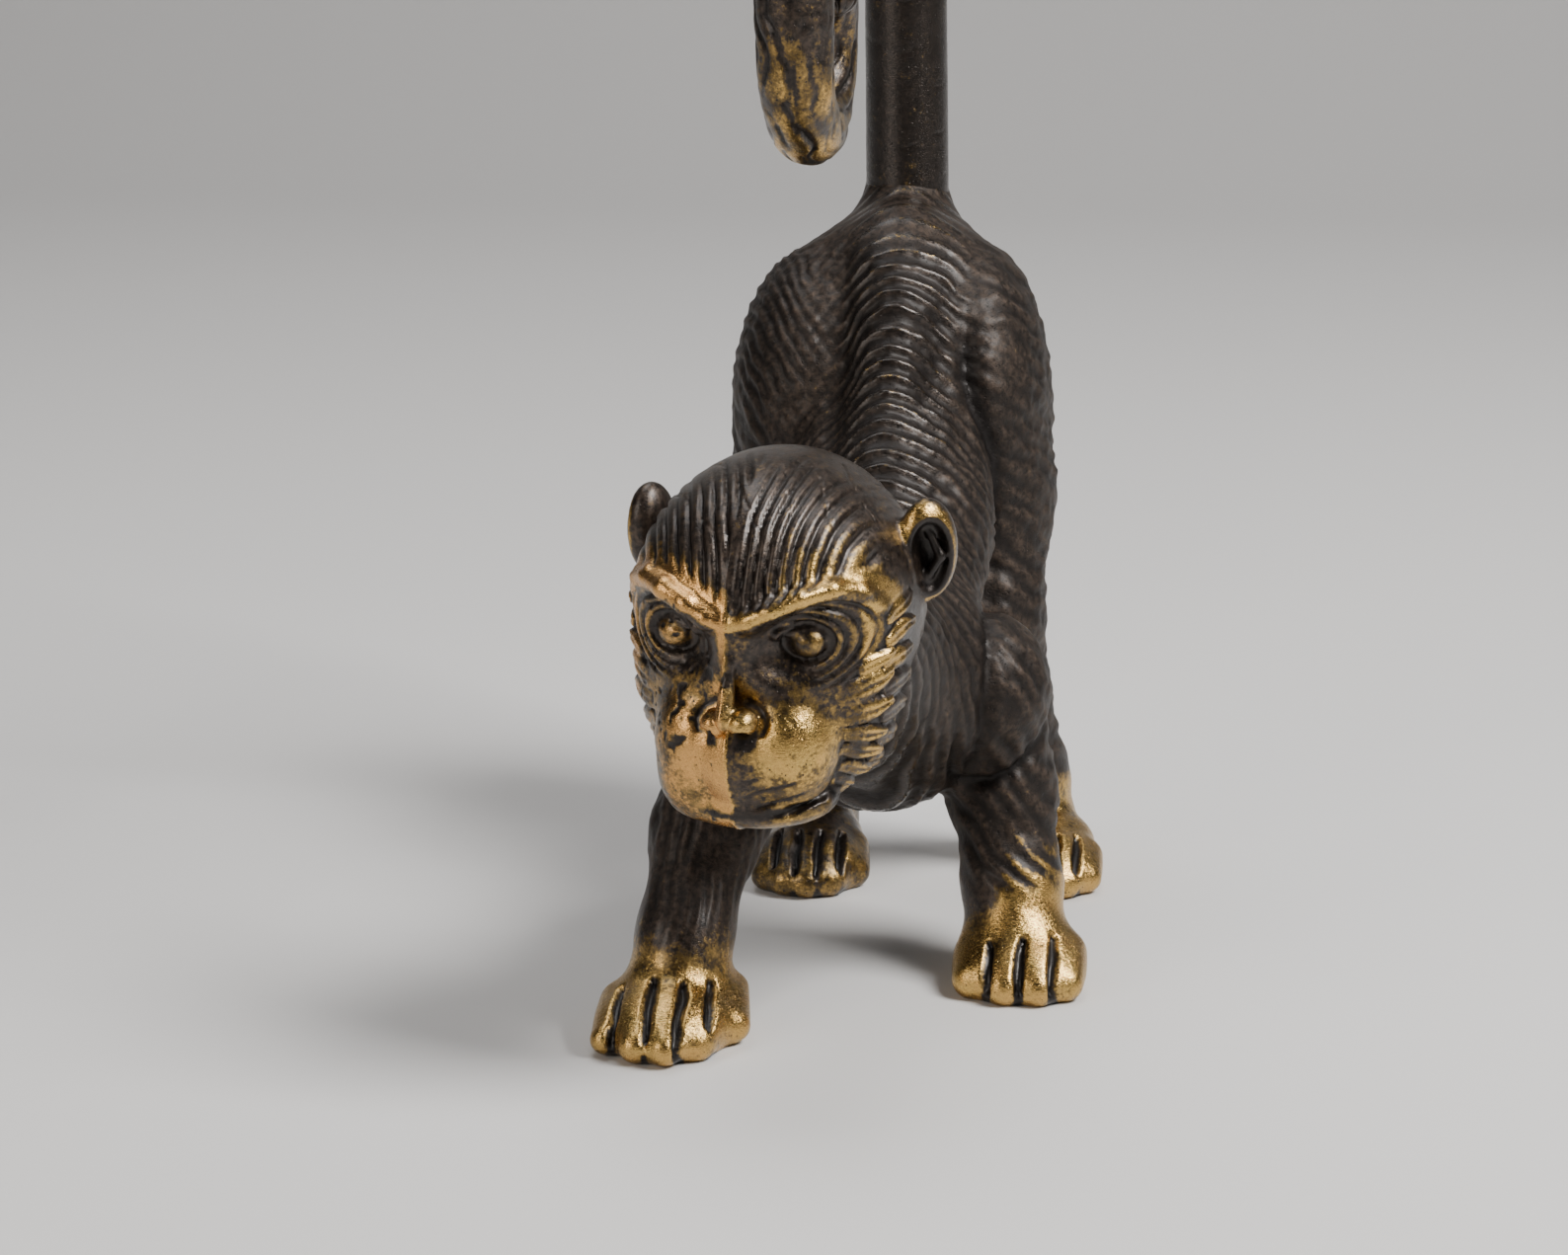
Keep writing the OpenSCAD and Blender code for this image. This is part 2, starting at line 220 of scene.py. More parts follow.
def skull_form(q):
    """The skull with brows, sockets, eyeballs, nose, muzzle, lips and chin. Most forms are made on the
    mirrored points m; the jaw's right corner and the mouth differ by side and use q."""
    m = q.copy()
    m[:, 0] = np.abs(m[:, 0])
    skull = meld([egg(m, (0, 3, 3), (19.5, 21, 21)), egg(m, (0, -4.5, -3.5), (18, 13.6, 15.5)),
                  egg(m, (0, -3, 6), (18.3, 16.3, 17.2)), egg(m, (9.5, -4, -8), (8, 10, 12)),
                  egg(m, (0, -5, -14.6), (13.2, 11, 8))], 3)
    muzzle = meld([egg(m, (6.0, -14, -11.4), (6.8, 7.3, 8.8)),
                   egg(m, (0, -14.6, -12.4), (7.4, 7.8, 8.8))], 1.2)
    face = meld([skull, muzzle], 2)
    face = carve(face, egg(m, (9.4, -20.6, 3.4), (7.9, 6.4, 6.1), spin("z", 26) @ spin("y", -10)), 1.6)
    face = meld([face, chain(m, brow_line, 0.6)], 1.4)
    face = meld([face, egg(m, (9.4, -13.5, 3.8), (2.7, 2.6, 2.35))], 0.4)
    face = meld([face, rod(m, (5.6, -15.9, 5.2), (12.9, -12.9, 7.2), 0.9, 0.9)], 0.6)
    face = carve(face, egg(m, (5.0, -22.4, -0.2), (2.8, 2.8, 4.8), spin("y", 12)), 1.8)
    nose = chain(m,
                 [(0, -18.5, 6.6, 0.9), (0, -19.4, 2, 0.85), (0, -20.9, -2, 0.9), (0, -22, -5.2, 1.5)],
                 0.8)
    left_wing = egg(m, (2.3, -21.4, -5.6), (2.1, 2.5, 1.9))
    right_wing = egg(m, (1.9, -21.2, -6.2), (1.7, 2.3, 2.0))
    wing = np.where(q[:, 0] > 0, left_wing, right_wing)
    face = meld([meld([face, nose], 0.7), wing], 0.35)
    face = carve(face, rod(m, (2.7, -24.6, -7.6), (2.1, -20, -6.9), 1.3, 0.8), 0.25)
    chin = egg(m, (0, -11.6, -19.8), (12, 9.2, 4.1))
    right_jaw = egg(q, (-6.8, -13, -16.5), (6.1, 7.6, 6.4))
    face = meld([face, chin, right_jaw], 1.5)
    mouth = chain(q, [(-5, -22.2, -20.6, 0.2), (0, -22.6, -20.1, 0.6), (3.6, -21.4, -19.9, 0.65),
                      (7.3, -18.8, -19.3, 0.65), (10.4, -14.6, -18.3, 0.6), (12, -11.5, -17.2, 0.4)], 0.4)
    return carve(face, mouth, 0.6)


# %% [markdown]
# The ears stand out like cupped petals: a flattened egg for the cup, a smaller one pressed in for the
# hollow, and a short fold inside. The left one looks forwards and outwards. The right one is turned
# until its hollow looks to the side, so from the front only its back and its rim are seen.

# %% Ear form
ears = {1: dict(lean=48, cup=(19.8, 6.6, 10.3), radii=(4.5, 3.0, 7.3), hollow=(21.2, 4.2, 9.6)),
        -1: dict(lean=104, cup=(20.5, 6.6, 10.3), radii=(4.5, 3.0, 6.6), hollow=(23.0, 6.6, 10.0))}
hollow_radii = (3.0, 2.9, 5.4)
# the fold's three points
fold_foot, fold_knee, fold_top = (19.3, 6.2, 5.4), (21.8, 6, 9.6), (20.2, 6, 13.2)


def ear_hollow(m, side):
    """Distance to the egg that presses the hollow into the ear of one side, on points mirrored to +x."""
    return egg(m, ears[side]["hollow"], hollow_radii, spin("z", ears[side]["lean"]))


def ear_form(q, side):
    """A flattened egg with a hollow pressed in and a fold standing in the hollow. Side is 1 for the left
    ear and -1 for the right, and lean is how many degrees the cup looks outwards."""
    ear = ears[side]
    m = q.copy()
    m[:, 0] *= side
    cup = egg(m, ear["cup"], ear["radii"], spin("z", ear["lean"]))
    fold = meld([rod(m, fold_foot, fold_knee, 0.7, 0.7), rod(m, fold_knee, fold_top, 0.7, 0.5)], 0.5)
    return meld([carve(cup, ear_hollow(m, side), 0.8), fold], 0.6)


# %% [markdown]
# ## One skin
# All the forms melt into one distance field, with the sides that stand on the table ground flat at
# height zero. Keeping every group's own distance as well tells later which casting a patch of skin
# belongs to: the group that is nearest.

# %% The whole monkey as one field
body_groups = ["trunk", "foreleg_left", "foreleg_right", "hindleg_left", "hindleg_right"]
head_groups = ["skull", "ear_left", "ear_right"]
groups = body_groups + head_groups
reach = {"foreleg_left": ((3, -40, -3), (38, 12, 62)), "foreleg_right": ((-44, -70, -3), (0, 8, 62)),
         "hindleg_left": ((-2, 16, -3), (40, 80, 112)), "hindleg_right": ((-34, 10, -3), (4, 80, 112)),
         "trunk": ((-30, -64, 14), (26, 84, 122)), "skull": ((-36, -90, 30), (20, -26, 98)),
         "ear_left": ((6, -66, 52), (24, -34, 94)), "ear_right": ((-40, -62, 54), (-18, -26, 98))}


def group_distance(p, name):
    """Distance to one group, worked out only inside its reach and taken as far away elsewhere."""
    low, high = np.float32(reach[name])
    near = ((p > low) & (p < high)).all(-1)
    d = np.full(len(p), 60, np.float32)
    if near.any():
        q = p[near]
        if name == "trunk":
            d[near] = trunk_form(q)
        elif name in limbs:
            d[near] = limb_form(q, limbs[name])
        elif name == "skull":
            d[near] = skull_form(to_head(q))
        else:
            d[near] = ear_form(to_head(q), 1 if name == "ear_left" else -1)
    return d


def skin(p):
    """The whole figure: the groups melded, wide at the neck and close at the limbs and ears."""
    g = {name: group_distance(p, name) for name in groups}
    body = meld([g[name] for name in body_groups], 3.5)
    head = meld([g[name] for name in head_groups], 1.6)
    whole = meld([body, head], 2.5)
    return np.maximum(whole, -p[:, 2])


# %% [markdown]
# ## From field to mesh
# The skin is where the field passes through zero. Sampling the whole box finely would waste most of
# the work, so a coarse lattice finds the blocks near the skin and only those are sampled closely. In
# each small cell that the skin crosses, one vertex sits at the mean of the crossings, and each lattice
# edge that crosses it gives one four-sided face. This is the naive surface net, on whole arrays.

# %% Sample near the skin, then net it
def sample(field, low, high, step, block=8):
    """The field on a lattice: blocks whose middle is further than 0.9 of a block's diagonal from the
    skin keep only the sign of their middle."""
    low = np.array(low, float)
    count = np.ceil((np.array(high) - low) / (step * block)).astype(int)
    axes = [low[i] + (np.arange(count[i]) + 0.5) * step * block for i in range(3)]
    middle = np.stack(np.meshgrid(*axes, indexing="ij"), -1).reshape(-1, 3).astype(np.float32)
    rough = field(middle)
    cube = np.where(rough < 0, np.float32(-9), np.float32(9)).reshape(count)
    lattice = cube.repeat(block, 0).repeat(block, 1).repeat(block, 2)
    near = np.argwhere((np.abs(rough) < 0.9 * math.sqrt(3) * step * block).reshape(count))
    within = np.stack(np.meshgrid(*[np.arange(block)] * 3, indexing="ij"), -1).reshape(-1, 3)
    view = lattice.reshape(count[0], block, count[1], block, count[2], block)
    for part in np.array_split(near, max(1, len(near) // 2000)):
        spots = (part[:, None] * block + within).reshape(-1, 3)
        d = field((low + spots * step).astype(np.float32)).reshape(-1, block, block, block)
        view[part[:, 0], :, part[:, 1], :, part[:, 2], :] = d
    return lattice, low


def net(lattice, low, step):
    """Vertices at the mean crossing of each cell, and a quad around each crossed lattice edge."""
    inside = lattice < 0
    corner = [(i, j, k) for i in (0, 1) for j in (0, 1) for k in (0, 1)]
    nx, ny, nz = np.array(lattice.shape) - 1
    full = sum(inside[i:nx + i, j:ny + j, k:nz + k].astype(np.int8) for i, j, k in corner)
    cells = np.argwhere((full > 0) & (full < 8))
    name = np.full((nx, ny, nz), -1, np.int32)
    name[tuple(cells.T)] = np.arange(len(cells))
    total, hits = np.zeros((len(cells), 3)), np.zeros(len(cells))
    value = {c: lattice[tuple((cells + c).T)] for c in corner}
    for a in corner:
        for axis in range(3):
            if a[axis] == 0:
                b = tuple(v + (i == axis) for i, v in enumerate(a))
                cross = (value[a] < 0) != (value[b] < 0)
                t = value[a] / np.where(cross, value[a] - value[b], 1)
                spot = np.array(a, float) + t[:, None] * (np.array(b) - np.array(a))
                total += np.where(cross[:, None], spot, 0)
                hits += cross
    points = low + (cells + total / hits[:, None]) * step
    faces = []
    for axis in range(3):
        u, v = [(1, 2), (2, 0), (0, 1)][axis]
        here = [slice(1, -1)] * 3
        here[axis] = slice(0, -1)
        there = list(here)
        there[axis] = slice(1, None)
        a, b = inside[tuple(here)], inside[tuple(there)]
        for flip, crossed in ((False, a & ~b), (True, ~a & b)):
            e = np.argwhere(crossed)
            e[:, u] += 1
            e[:, v] += 1
            du, dv = np.eye(3, dtype=int)[u], np.eye(3, dtype=int)[v]
            ring = ((1, 1), (0, 1), (0, 0), (1, 0))
            quad = np.stack([name[tuple((e - i * du - j * dv).T)] for i, j in ring], 1)
            faces.append(quad[:, ::-1] if flip else quad)
    return points, np.concatenate(faces)


def corner_normals(points, faces):
    """Unit normals at the vertices: the faces' area vectors added up at their corners."""
    a, b, c, d = (points[faces[:, i]] for i in range(4))
    area = np.cross(c - a, d - b)
    n = np.zeros_like(points)
    for i in range(4):
        for j in range(3):
            n[:, j] += np.bincount(faces[:, i], area[:, j], len(points))
    return n / (np.linalg.norm(n, axis=1, keepdims=True) + 1e-12)


# %% [markdown]
# ## Fur lines, wrinkles and wear
# After casting, the fur is cut with a graver: long parallel lines over the back, finer ones over the
# skull, ripples round the eyes and leaf-like tufts on the cheeks. The lines are heights added along
# the normals, so they catch light from every side, as real cuts do. Four numbers are kept at each vertex
# for the finish: polish, how far the place was rubbed bright; hollow, how deep it lies in a cut, which
# also paints shade into the creases at the shoulder, the left limbs and round the nose's wings; copper,
# how red the metal is; and dull, how matt the dark skin on it is.

# %% Soft noise and ramps
def ramp(x, a, b):
    """A smooth step: 0 at a, 1 at b, and 3 t t - 2 t t t between."""
    t = np.clip((x - a) / (b - a), 0, 1)
    return t * t * (3 - 2 * t)


def lumps(p, size, seed=0):
    """Smooth noise between 0 and 1: a number hashed from each corner of a lattice of the given size,
    blended across the cell with the smooth step."""
    q = p / size
    cell = np.floor(q).astype(np.int64)
    f = q - cell
    f = f * f * (3 - 2 * f)
    total = 0
    for i in (0, 1):
        for j in (0, 1):
            for k in (0, 1):
                c = cell + (i, j, k)
                h = (c[:, 0] * 73856093) ^ (c[:, 1] * 19349663) ^ (c[:, 2] * 83492791) ^ (seed * 2654435761)
                h = ((h ^ (h >> 13)) * 1274126177) & 0xFFFFFF
                w = np.abs(1 - i - f[:, 0]) * np.abs(1 - j - f[:, 1]) * np.abs(1 - k - f[:, 2])
                total = total + w * (h / 0xFFFFFF)
    return total


def wobble(p, size, seed):
    """The same noise centred on nought, from minus a half to a half."""
    return lumps(p, size, seed) - 0.5


def ridges(c, pitch, sharp=1.0):
    """Rounded ridges, one each pitch: a raised cosine of the coordinate c, to a power."""
    return (0.5 + 0.5 * np.cos(2 * np.pi * c / pitch)) ** sharp


def cuts(c, pitch, width):
    """Narrow cuts, one each pitch: the cosine ridge turned over and tightened to the given width."""
    return np.exp(-((c / pitch - np.round(c / pitch)) * pitch / width) ** 2)


# %% Lines on the body and limbs
def body_lines(p, near):
    """Height, hollow and spine crest of the fur on trunk and limbs. Each group has its own line
    coordinate, and the heights are mixed by how near the groups are. Over the spine the crests are thin
    and strong, and on the flanks they break up. Creases mark where the left limbs meet the trunk and
    where the shoulder's ball rests on the arm: they are cut in, and the hollow number carries painted shade
    into them."""
    x, y, z = p.T
    wander = 2.4 * wobble(p, 11, 1) + 1.1 * wobble(p, 4.5, 2)
    ragged = wander + 1.6 * wobble(p, 5, 4)
    off = x - 1.5
    side = np.minimum(np.abs(off), 15)
    over = 0.8 * y + 0.6 * z + np.where(off < 0, 0.05, 0.02) * side ** 2 + wander
    on_spine = np.exp(-(np.maximum(np.abs(off + 0.5) - 6, 0) / 3.2) ** 2)
    thigh = 0.85 * z + 0.5 * x + 0.3 * y + 1.3 * ragged
    lay = {     # for each group: its line coordinate, the spacing of the lines and their depth
        "trunk": (over * on_spine + (over + 0.9 * ragged) * (1 - on_spine), 3.1, 0.34 + 0.30 * on_spine),
        "hindleg_left": (thigh, 3.3, 0.34),
        "hindleg_right": (thigh + 1.0 * x, 3.3, 0.32),
        "foreleg_left": (0.6 * z + 0.7 * x + 0.3 * y + 1.2 * ragged, 2.8, 0.36),
        "foreleg_right": (0.95 * x - 0.25 * z + 0.2 * y + 0.5 * ragged, 1.7, 0.24)}
    weight = {n: np.exp(-np.maximum(near[n] - np.min([near[m] for m in lay], 0), 0) / 1.5) for n in lay}
    whole = sum(weight.values())
    sharp = 1.1 + 0.9 * on_spine
    line = sum(weight[n] * ridges(lay[n][0], lay[n][1], sharp) for n in lay) / whole
    depth = sum(weight[n] * lay[n][2] for n in lay) / whole
    breaks = 0.45 + 0.55 * ramp(lumps(p, 6, 3), 0.3, 0.62)
    trunk_spine = on_spine * weight["trunk"] / whole
    depth = depth * (trunk_spine + (1 - trunk_spine) * breaks)
    depth *= ramp(z, 10, 22) * (1 - 0.85 * ramp(z, 98, 104))
    dents = 0.42 * wobble(p, 2.6, 16) + 0.26 * wobble(p, 1.2, 17)
    valley = 1.3 * np.exp(-((x + 8.6) / 2.8) ** 2) + 0.5 * np.exp(-((x - 11.5) / 2.5) ** 2)
    valley *= weight["trunk"] / whole * ramp(z, 62, 74) * (1 - ramp(z, 97, 104)) * (y > -5)
    # the creases are cut into the height and also passed on as hollow, where they are painted shade
    crease_and_shade = 0
    for name, strength in (("hindleg_left", 1.5), ("foreleg_left", 1.0)):
        meeting = np.exp(-((near[name] - near["trunk"]) / 1.3) ** 2) * (near[name] < 3)
        crease_and_shade = np.maximum(crease_and_shade, strength * meeting)
    crease_and_shade = crease_and_shade * ramp(z, 26, 34) * ramp(z, 96, 84)
    # under the shoulder's ball: a crease with painted shade where its shadow falls on the arm
    shoulder = egg(p, (15.6, -12.5, 43), (11, 12, 12))
    under = np.exp(-((shoulder - 1.0) / 0.9) ** 2) * ramp(z, 42, 36) * ramp(x, 8, 11) * (y < 4)
    crease_and_shade = np.maximum(crease_and_shade, 1.3 * under)
    height = (line - 0.55) * depth - valley - crease_and_shade + dents * ramp(z, 16, 26) * (1 - ramp(z, 100, 106))
    return height, np.maximum((1 - line) * ramp(depth, 0.02, 0.3), crease_and_shade), trunk_spine * line


def head_share(near):
    """1 on the head and 0 on the body, with a soft change over three millimetres at the neck."""
    head = np.minimum.reduce([near[name] for name in head_groups])
    body = np.minimum.reduce([near[name] for name in body_groups])
    return ramp(head - body, 1.5, -1.5)


def paw_slots(p, near):
    """The cut between two digits: a narrow trough along a line seen from above, from 0 to 1, fading at
    the knuckle end, and kept to the paw that it belongs to."""
    best = np.min([near[n] for n in limbs], 0)
    cut = np.zeros(len(p))
    for name, limb in limbs.items():
        mine = (near[name] <= best) & (p[:, 2] < 13)
        q = p[mine][:, :2]
        deep = np.zeros(len(q))
        for a, b in limb["slots"]:
            a, b = np.array(a[:2], float), np.array(b[:2], float)
            a, b = a + 0.3 * (b - a), b - 0.12 * (b - a)
            t = np.clip((q - a) @ (b - a) / ((b - a) @ (b - a)), 0, 1)
            off = q - a - t[:, None] * (b - a) + 0.5 * wobble(p[mine], 2.5, 18)[:, None]
            far = np.linalg.norm(off, axis=1)
            deep = np.maximum(deep, np.exp(-(far / (0.5 + 0.22 * np.sin(np.pi * t))) ** 4))
        cut[mine] = np.maximum(cut[mine], deep)
    return cut


# %% Lines on the head
brow_top = [(-19, 8.5), (-14.7, 11.6), (-9.8, 13), (-5.4, 12.2), (-2.1, 10.2), (0, 8.6), (0.8, 8.2),
            (5.9, 10),
            (11.6, 12), (15.9, 12.3), (18.3, 9.8)]
brow_foot = [(-19, 6), (-15.9, 9), (-11.9, 10.2), (-8.3, 10.3), (-4.6, 9), (-1.5, 7.1), (0.1, 6.4), (6, 8.8),
             (11.9, 10.6), (15.8, 11.2), (17.9, 9.2), (19.2, 5.6)]
# each tuft on the cheek's chart: where it starts (a, z), where its tip is (a, z), and half its width
leaves = [(-3.4, -4.2, 6.6, -2.7, 2.1), (-3.2, -7.2, 6.4, -6.8, 1.8), (-2.8, -9.6, 5.8, -11.4, 1.5),
          (-2.6, -12, 5.4, -14.3, 1.5), (-2.2, -14.8, 4.6, -17.6, 1.4), (-2.6, -17.4, 3, -20.2, 1.3),
          (0.4, -1, 6.8, 0.3, 1.2), (4.6, -1.8, 12, -1.2, 1.6), (4.6, -5.1, 12, -5, 1.7),
          (4.4, -8.8, 11.6, -9.5, 1.7),
          (4, -12.4, 11, -13.8, 1.6), (3, -16, 9.6, -18, 1.6), (5.2, 1.8, 12.4, 2.8, 1.5),
          (5.6, 5, 12.4, 6.2, 1.4)]


def along(points, x):
    """The height of a line through points (x, z) above each x."""
    return np.interp(x, *np.array(points).T)


def leaf_field(q):
    """Height from 0 to 1 of the cheek tufts: each a leaf on the chart (a, z), a being 0.62 |x| + 0.78 y.
    Across a leaf the height is a half circle, its width swells and tapers as a sine, and it rises to
    the tip. A groove runs down its middle."""
    a, z = 0.62 * np.abs(q[:, 0]) + 0.78 * q[:, 1], q[:, 2]
    a = a + 0.5 * wobble(q, 2.5, 30)
    z = z + 0.5 * wobble(q, 2.5, 31)
    best = np.zeros(len(q))
    for a0, z0, a1, z1, width in leaves:
        run = np.hypot(a1 - a0, z1 - z0)
        ca, cz = (a1 - a0) / run, (z1 - z0) / run
        t = ((a - a0) * ca + (z - z0) * cz) / run
        off = -(a - a0) * cz + (z - z0) * ca
        half = width * np.sin(np.pi * np.clip(0.12 + 0.84 * t, 0, 1)) ** 0.7 + 1e-3
        leaf = np.sqrt(np.clip(1 - (off / half) ** 2, 0, 1)) * (0.45 + 0.55 * np.clip(t, 0, 1))
        leaf = leaf * ((t > 0) & (t < 1))
        best = np.maximum(best, leaf * (1 - 0.35 * np.exp(-(off / 0.28) ** 2)))
    return best * ramp(q[:, 1], 6, 2)


def eye_shape(q):
    """The eye's own measure on the lids: an ellipse 1.27 times as wide as high, tilted up outwards."""
    m, z = np.abs(q[:, 0]) - 9.5, q[:, 2] - 3.9
    u, w = m * 0.97 + z * 0.2, z * 0.97 - m * 0.2
    return u, np.sqrt((u / 1.27) ** 2 + w ** 2)


def ear_cup(q):
    """1 inside the ears' hollows and 0 on their rims, from the distance to the egg that made them."""
    m = q.copy()
    inside = np.zeros(len(q))
    for side in ears:
        m[:, 0] = q[:, 0] * side
        inside = np.maximum(inside, ramp(ear_hollow(m, side), 1.0, 0.3))
    return inside


def head_lines(q):
    """Height, hollow and leaf height on the head: cuts over the skull that run back from the brows,
    ripples round the eyes, leaf tufts on the cheeks, folds at the lips, creases round the nose's wings
    with painted shade in them, small pits in the metal and the joint's ridge."""
    x, y, z = q.T
    m = np.abs(x)
    wander = 0.7 * wobble(q, 8, 5) + 0.12 * wobble(q, 2.2, 6)
    # long cuts over the skull, from the brows back
    above = z - along(brow_top, x)
    across = np.where(x > 0, x * (1 - 0.012 * (y + 18)), x + 0.36 * (y + 18))
    pitch = np.where(x > 0, 1.55, 1.8)
    long_cut = cuts(across + wander, pitch, 0.34)
    length = ramp(y + 8 * wobble(np.stack([across, 0 * y, 0 * z], 1), 1.7, 7), 3, -6)
    scalp = ramp(above, 0.0, 1.6) * length * ramp(y, 6, 0) * (0.6 + 0.4 * lumps(q, 5, 8)) * ramp(m, 0.2, 1.1)
    height = -0.62 * long_cut * scalp
    hollow = long_cut * scalp
    # fur on the sides and the back, and a few stray scratches on the crown
    hair = ridges(0.5 * y + 0.9 * z - 0.03 * x * x + 2.5 * wander, 2.6)
    height += 0.2 * (hair - 0.6) * ramp(y, -2, 9) * ramp(z, -20, -8) * ramp(m, 7, 14)
    scratch = cuts(0.8 * x + 0.6 * y + 4 * wobble(q, 9, 14), 5.5, 0.22)
    height -= 0.12 * scratch * (lumps(q, 4, 15) > 0.55) * ramp(z, 10, 16)
    # ripples round the eyes
    u, e = eye_shape(q)
    e_soft = e + 0.2 * wobble(q, 2.5, 9)
    front = ramp(y, -7.5, -9.5) * ramp(along(brow_foot, x) - z, 0.2, 1.4)
    ring = cuts(e_soft - 0.5, 1.2, 0.28) * ramp(e, 2.4, 2.8) * ramp(e, 7.4, 6.2)
    ring = np.maximum(ring * ramp(u + 0.35 * z, -2.5, 3.5), np.exp(-((e - 2.55) / 0.33) ** 2)) * front
    height -= 0.48 * ring
    hollow = np.maximum(hollow, 0.85 * ring)
    # leaf tufts on the cheeks
    leaf = leaf_field(q)
    cheek = ramp(m, 10, 11.4) * ramp(z, 7.5, 5.5) * ramp(z, -22, -20) * ramp(y, 6, 1) * ramp(e, 6.2, 7.4)
    cheek = cheek * (1 - ramp(y, -12, -14.5))
    height += (1.15 * leaf * (0.75 + 0.5 * lumps(q, 3.5, 45)) - 0.35) * cheek
    hollow = np.maximum(hollow, ramp(leaf, 0.35, 0.05) * cheek)
    # folds beside the mouth, and the line of the lips
    crease = cuts(z + 17.3 - 0.35 * (m - 7) + 0.4 * wander, 2.3, 0.22) * ramp(m, 1.5, 3.5) * ramp(m, 10.5, 8)
    crease = crease * ramp(y, -12, -14) * ramp(z, -19, -18) * ramp(z, -13.2, -14.2) * ramp(x, -1, 2)
    height -= 0.3 * crease
    hollow = np.maximum(hollow, crease * 0.8)
    lip = np.exp(-((z + 19.9 - 0.012 * m * m) / 0.55) ** 2)
    lip = lip * ramp(y, -9, -11) * ramp(m, 13, 11) * ramp(x, -6, -2)
    hollow = np.maximum(hollow, lip)
    # nostrils, and the crease round each wing of the nose, with painted shade in the crease
    wide = np.where(x > 0, 1.5, 0.8)
    nostril = np.exp(-(((m - 2.4) / wide) ** 4 + ((z + 8.3) / 1.25) ** 4)) * (y < -18)
    wing = egg(np.stack([m, y, z], 1).astype(np.float32), (2.1, -21.3, -5.9), (2.0, 2.4, 1.95))
    wing = np.exp(-((wing - 1.15) / 0.42) ** 2) * ramp(m, 1.3, 2.2) * (z > -8)
    height -= 0.22 * wing
    # 0.85 * wing paints shade into the crease round each wing of the nose
    hollow = np.max([hollow, nostril, 0.85 * wing], 0)
    # small pits in the metal, more of them on the right, and hammered unevenness
    bite = ramp(lumps(q, 0.8, 40) + 0.35 * lumps(q, 2.6, 41) + 0.2 * lumps(q, 4.5, 42), 0.98, 1.16)
    bite = bite * ramp(y, -9, -12) * np.where(x < 0, 1.0, 0.35) * (z < 11)
    height -= 0.14 * bite
    worked = ramp(e, 4, 7) * (0.4 - 0.25 * ramp(z, 6, 9))
    height += (0.22 * wobble(q, 2.4, 43) + 0.12 * wobble(q, 1.1, 44)) * worked
    hollow = np.maximum(hollow, 0.8 * bite)
    # the joint's ridge, and the step beside it
    joint = np.exp(-((x + 0.2) / 0.4) ** 2) * ramp(y, -10, -14) * ramp(z, 20, 9)
    step = ramp(x, 0.15, -0.25) * ramp(y, -14, -17)
    return height + 0.12 * joint + 0.14 * step, hollow, leaf * cheek


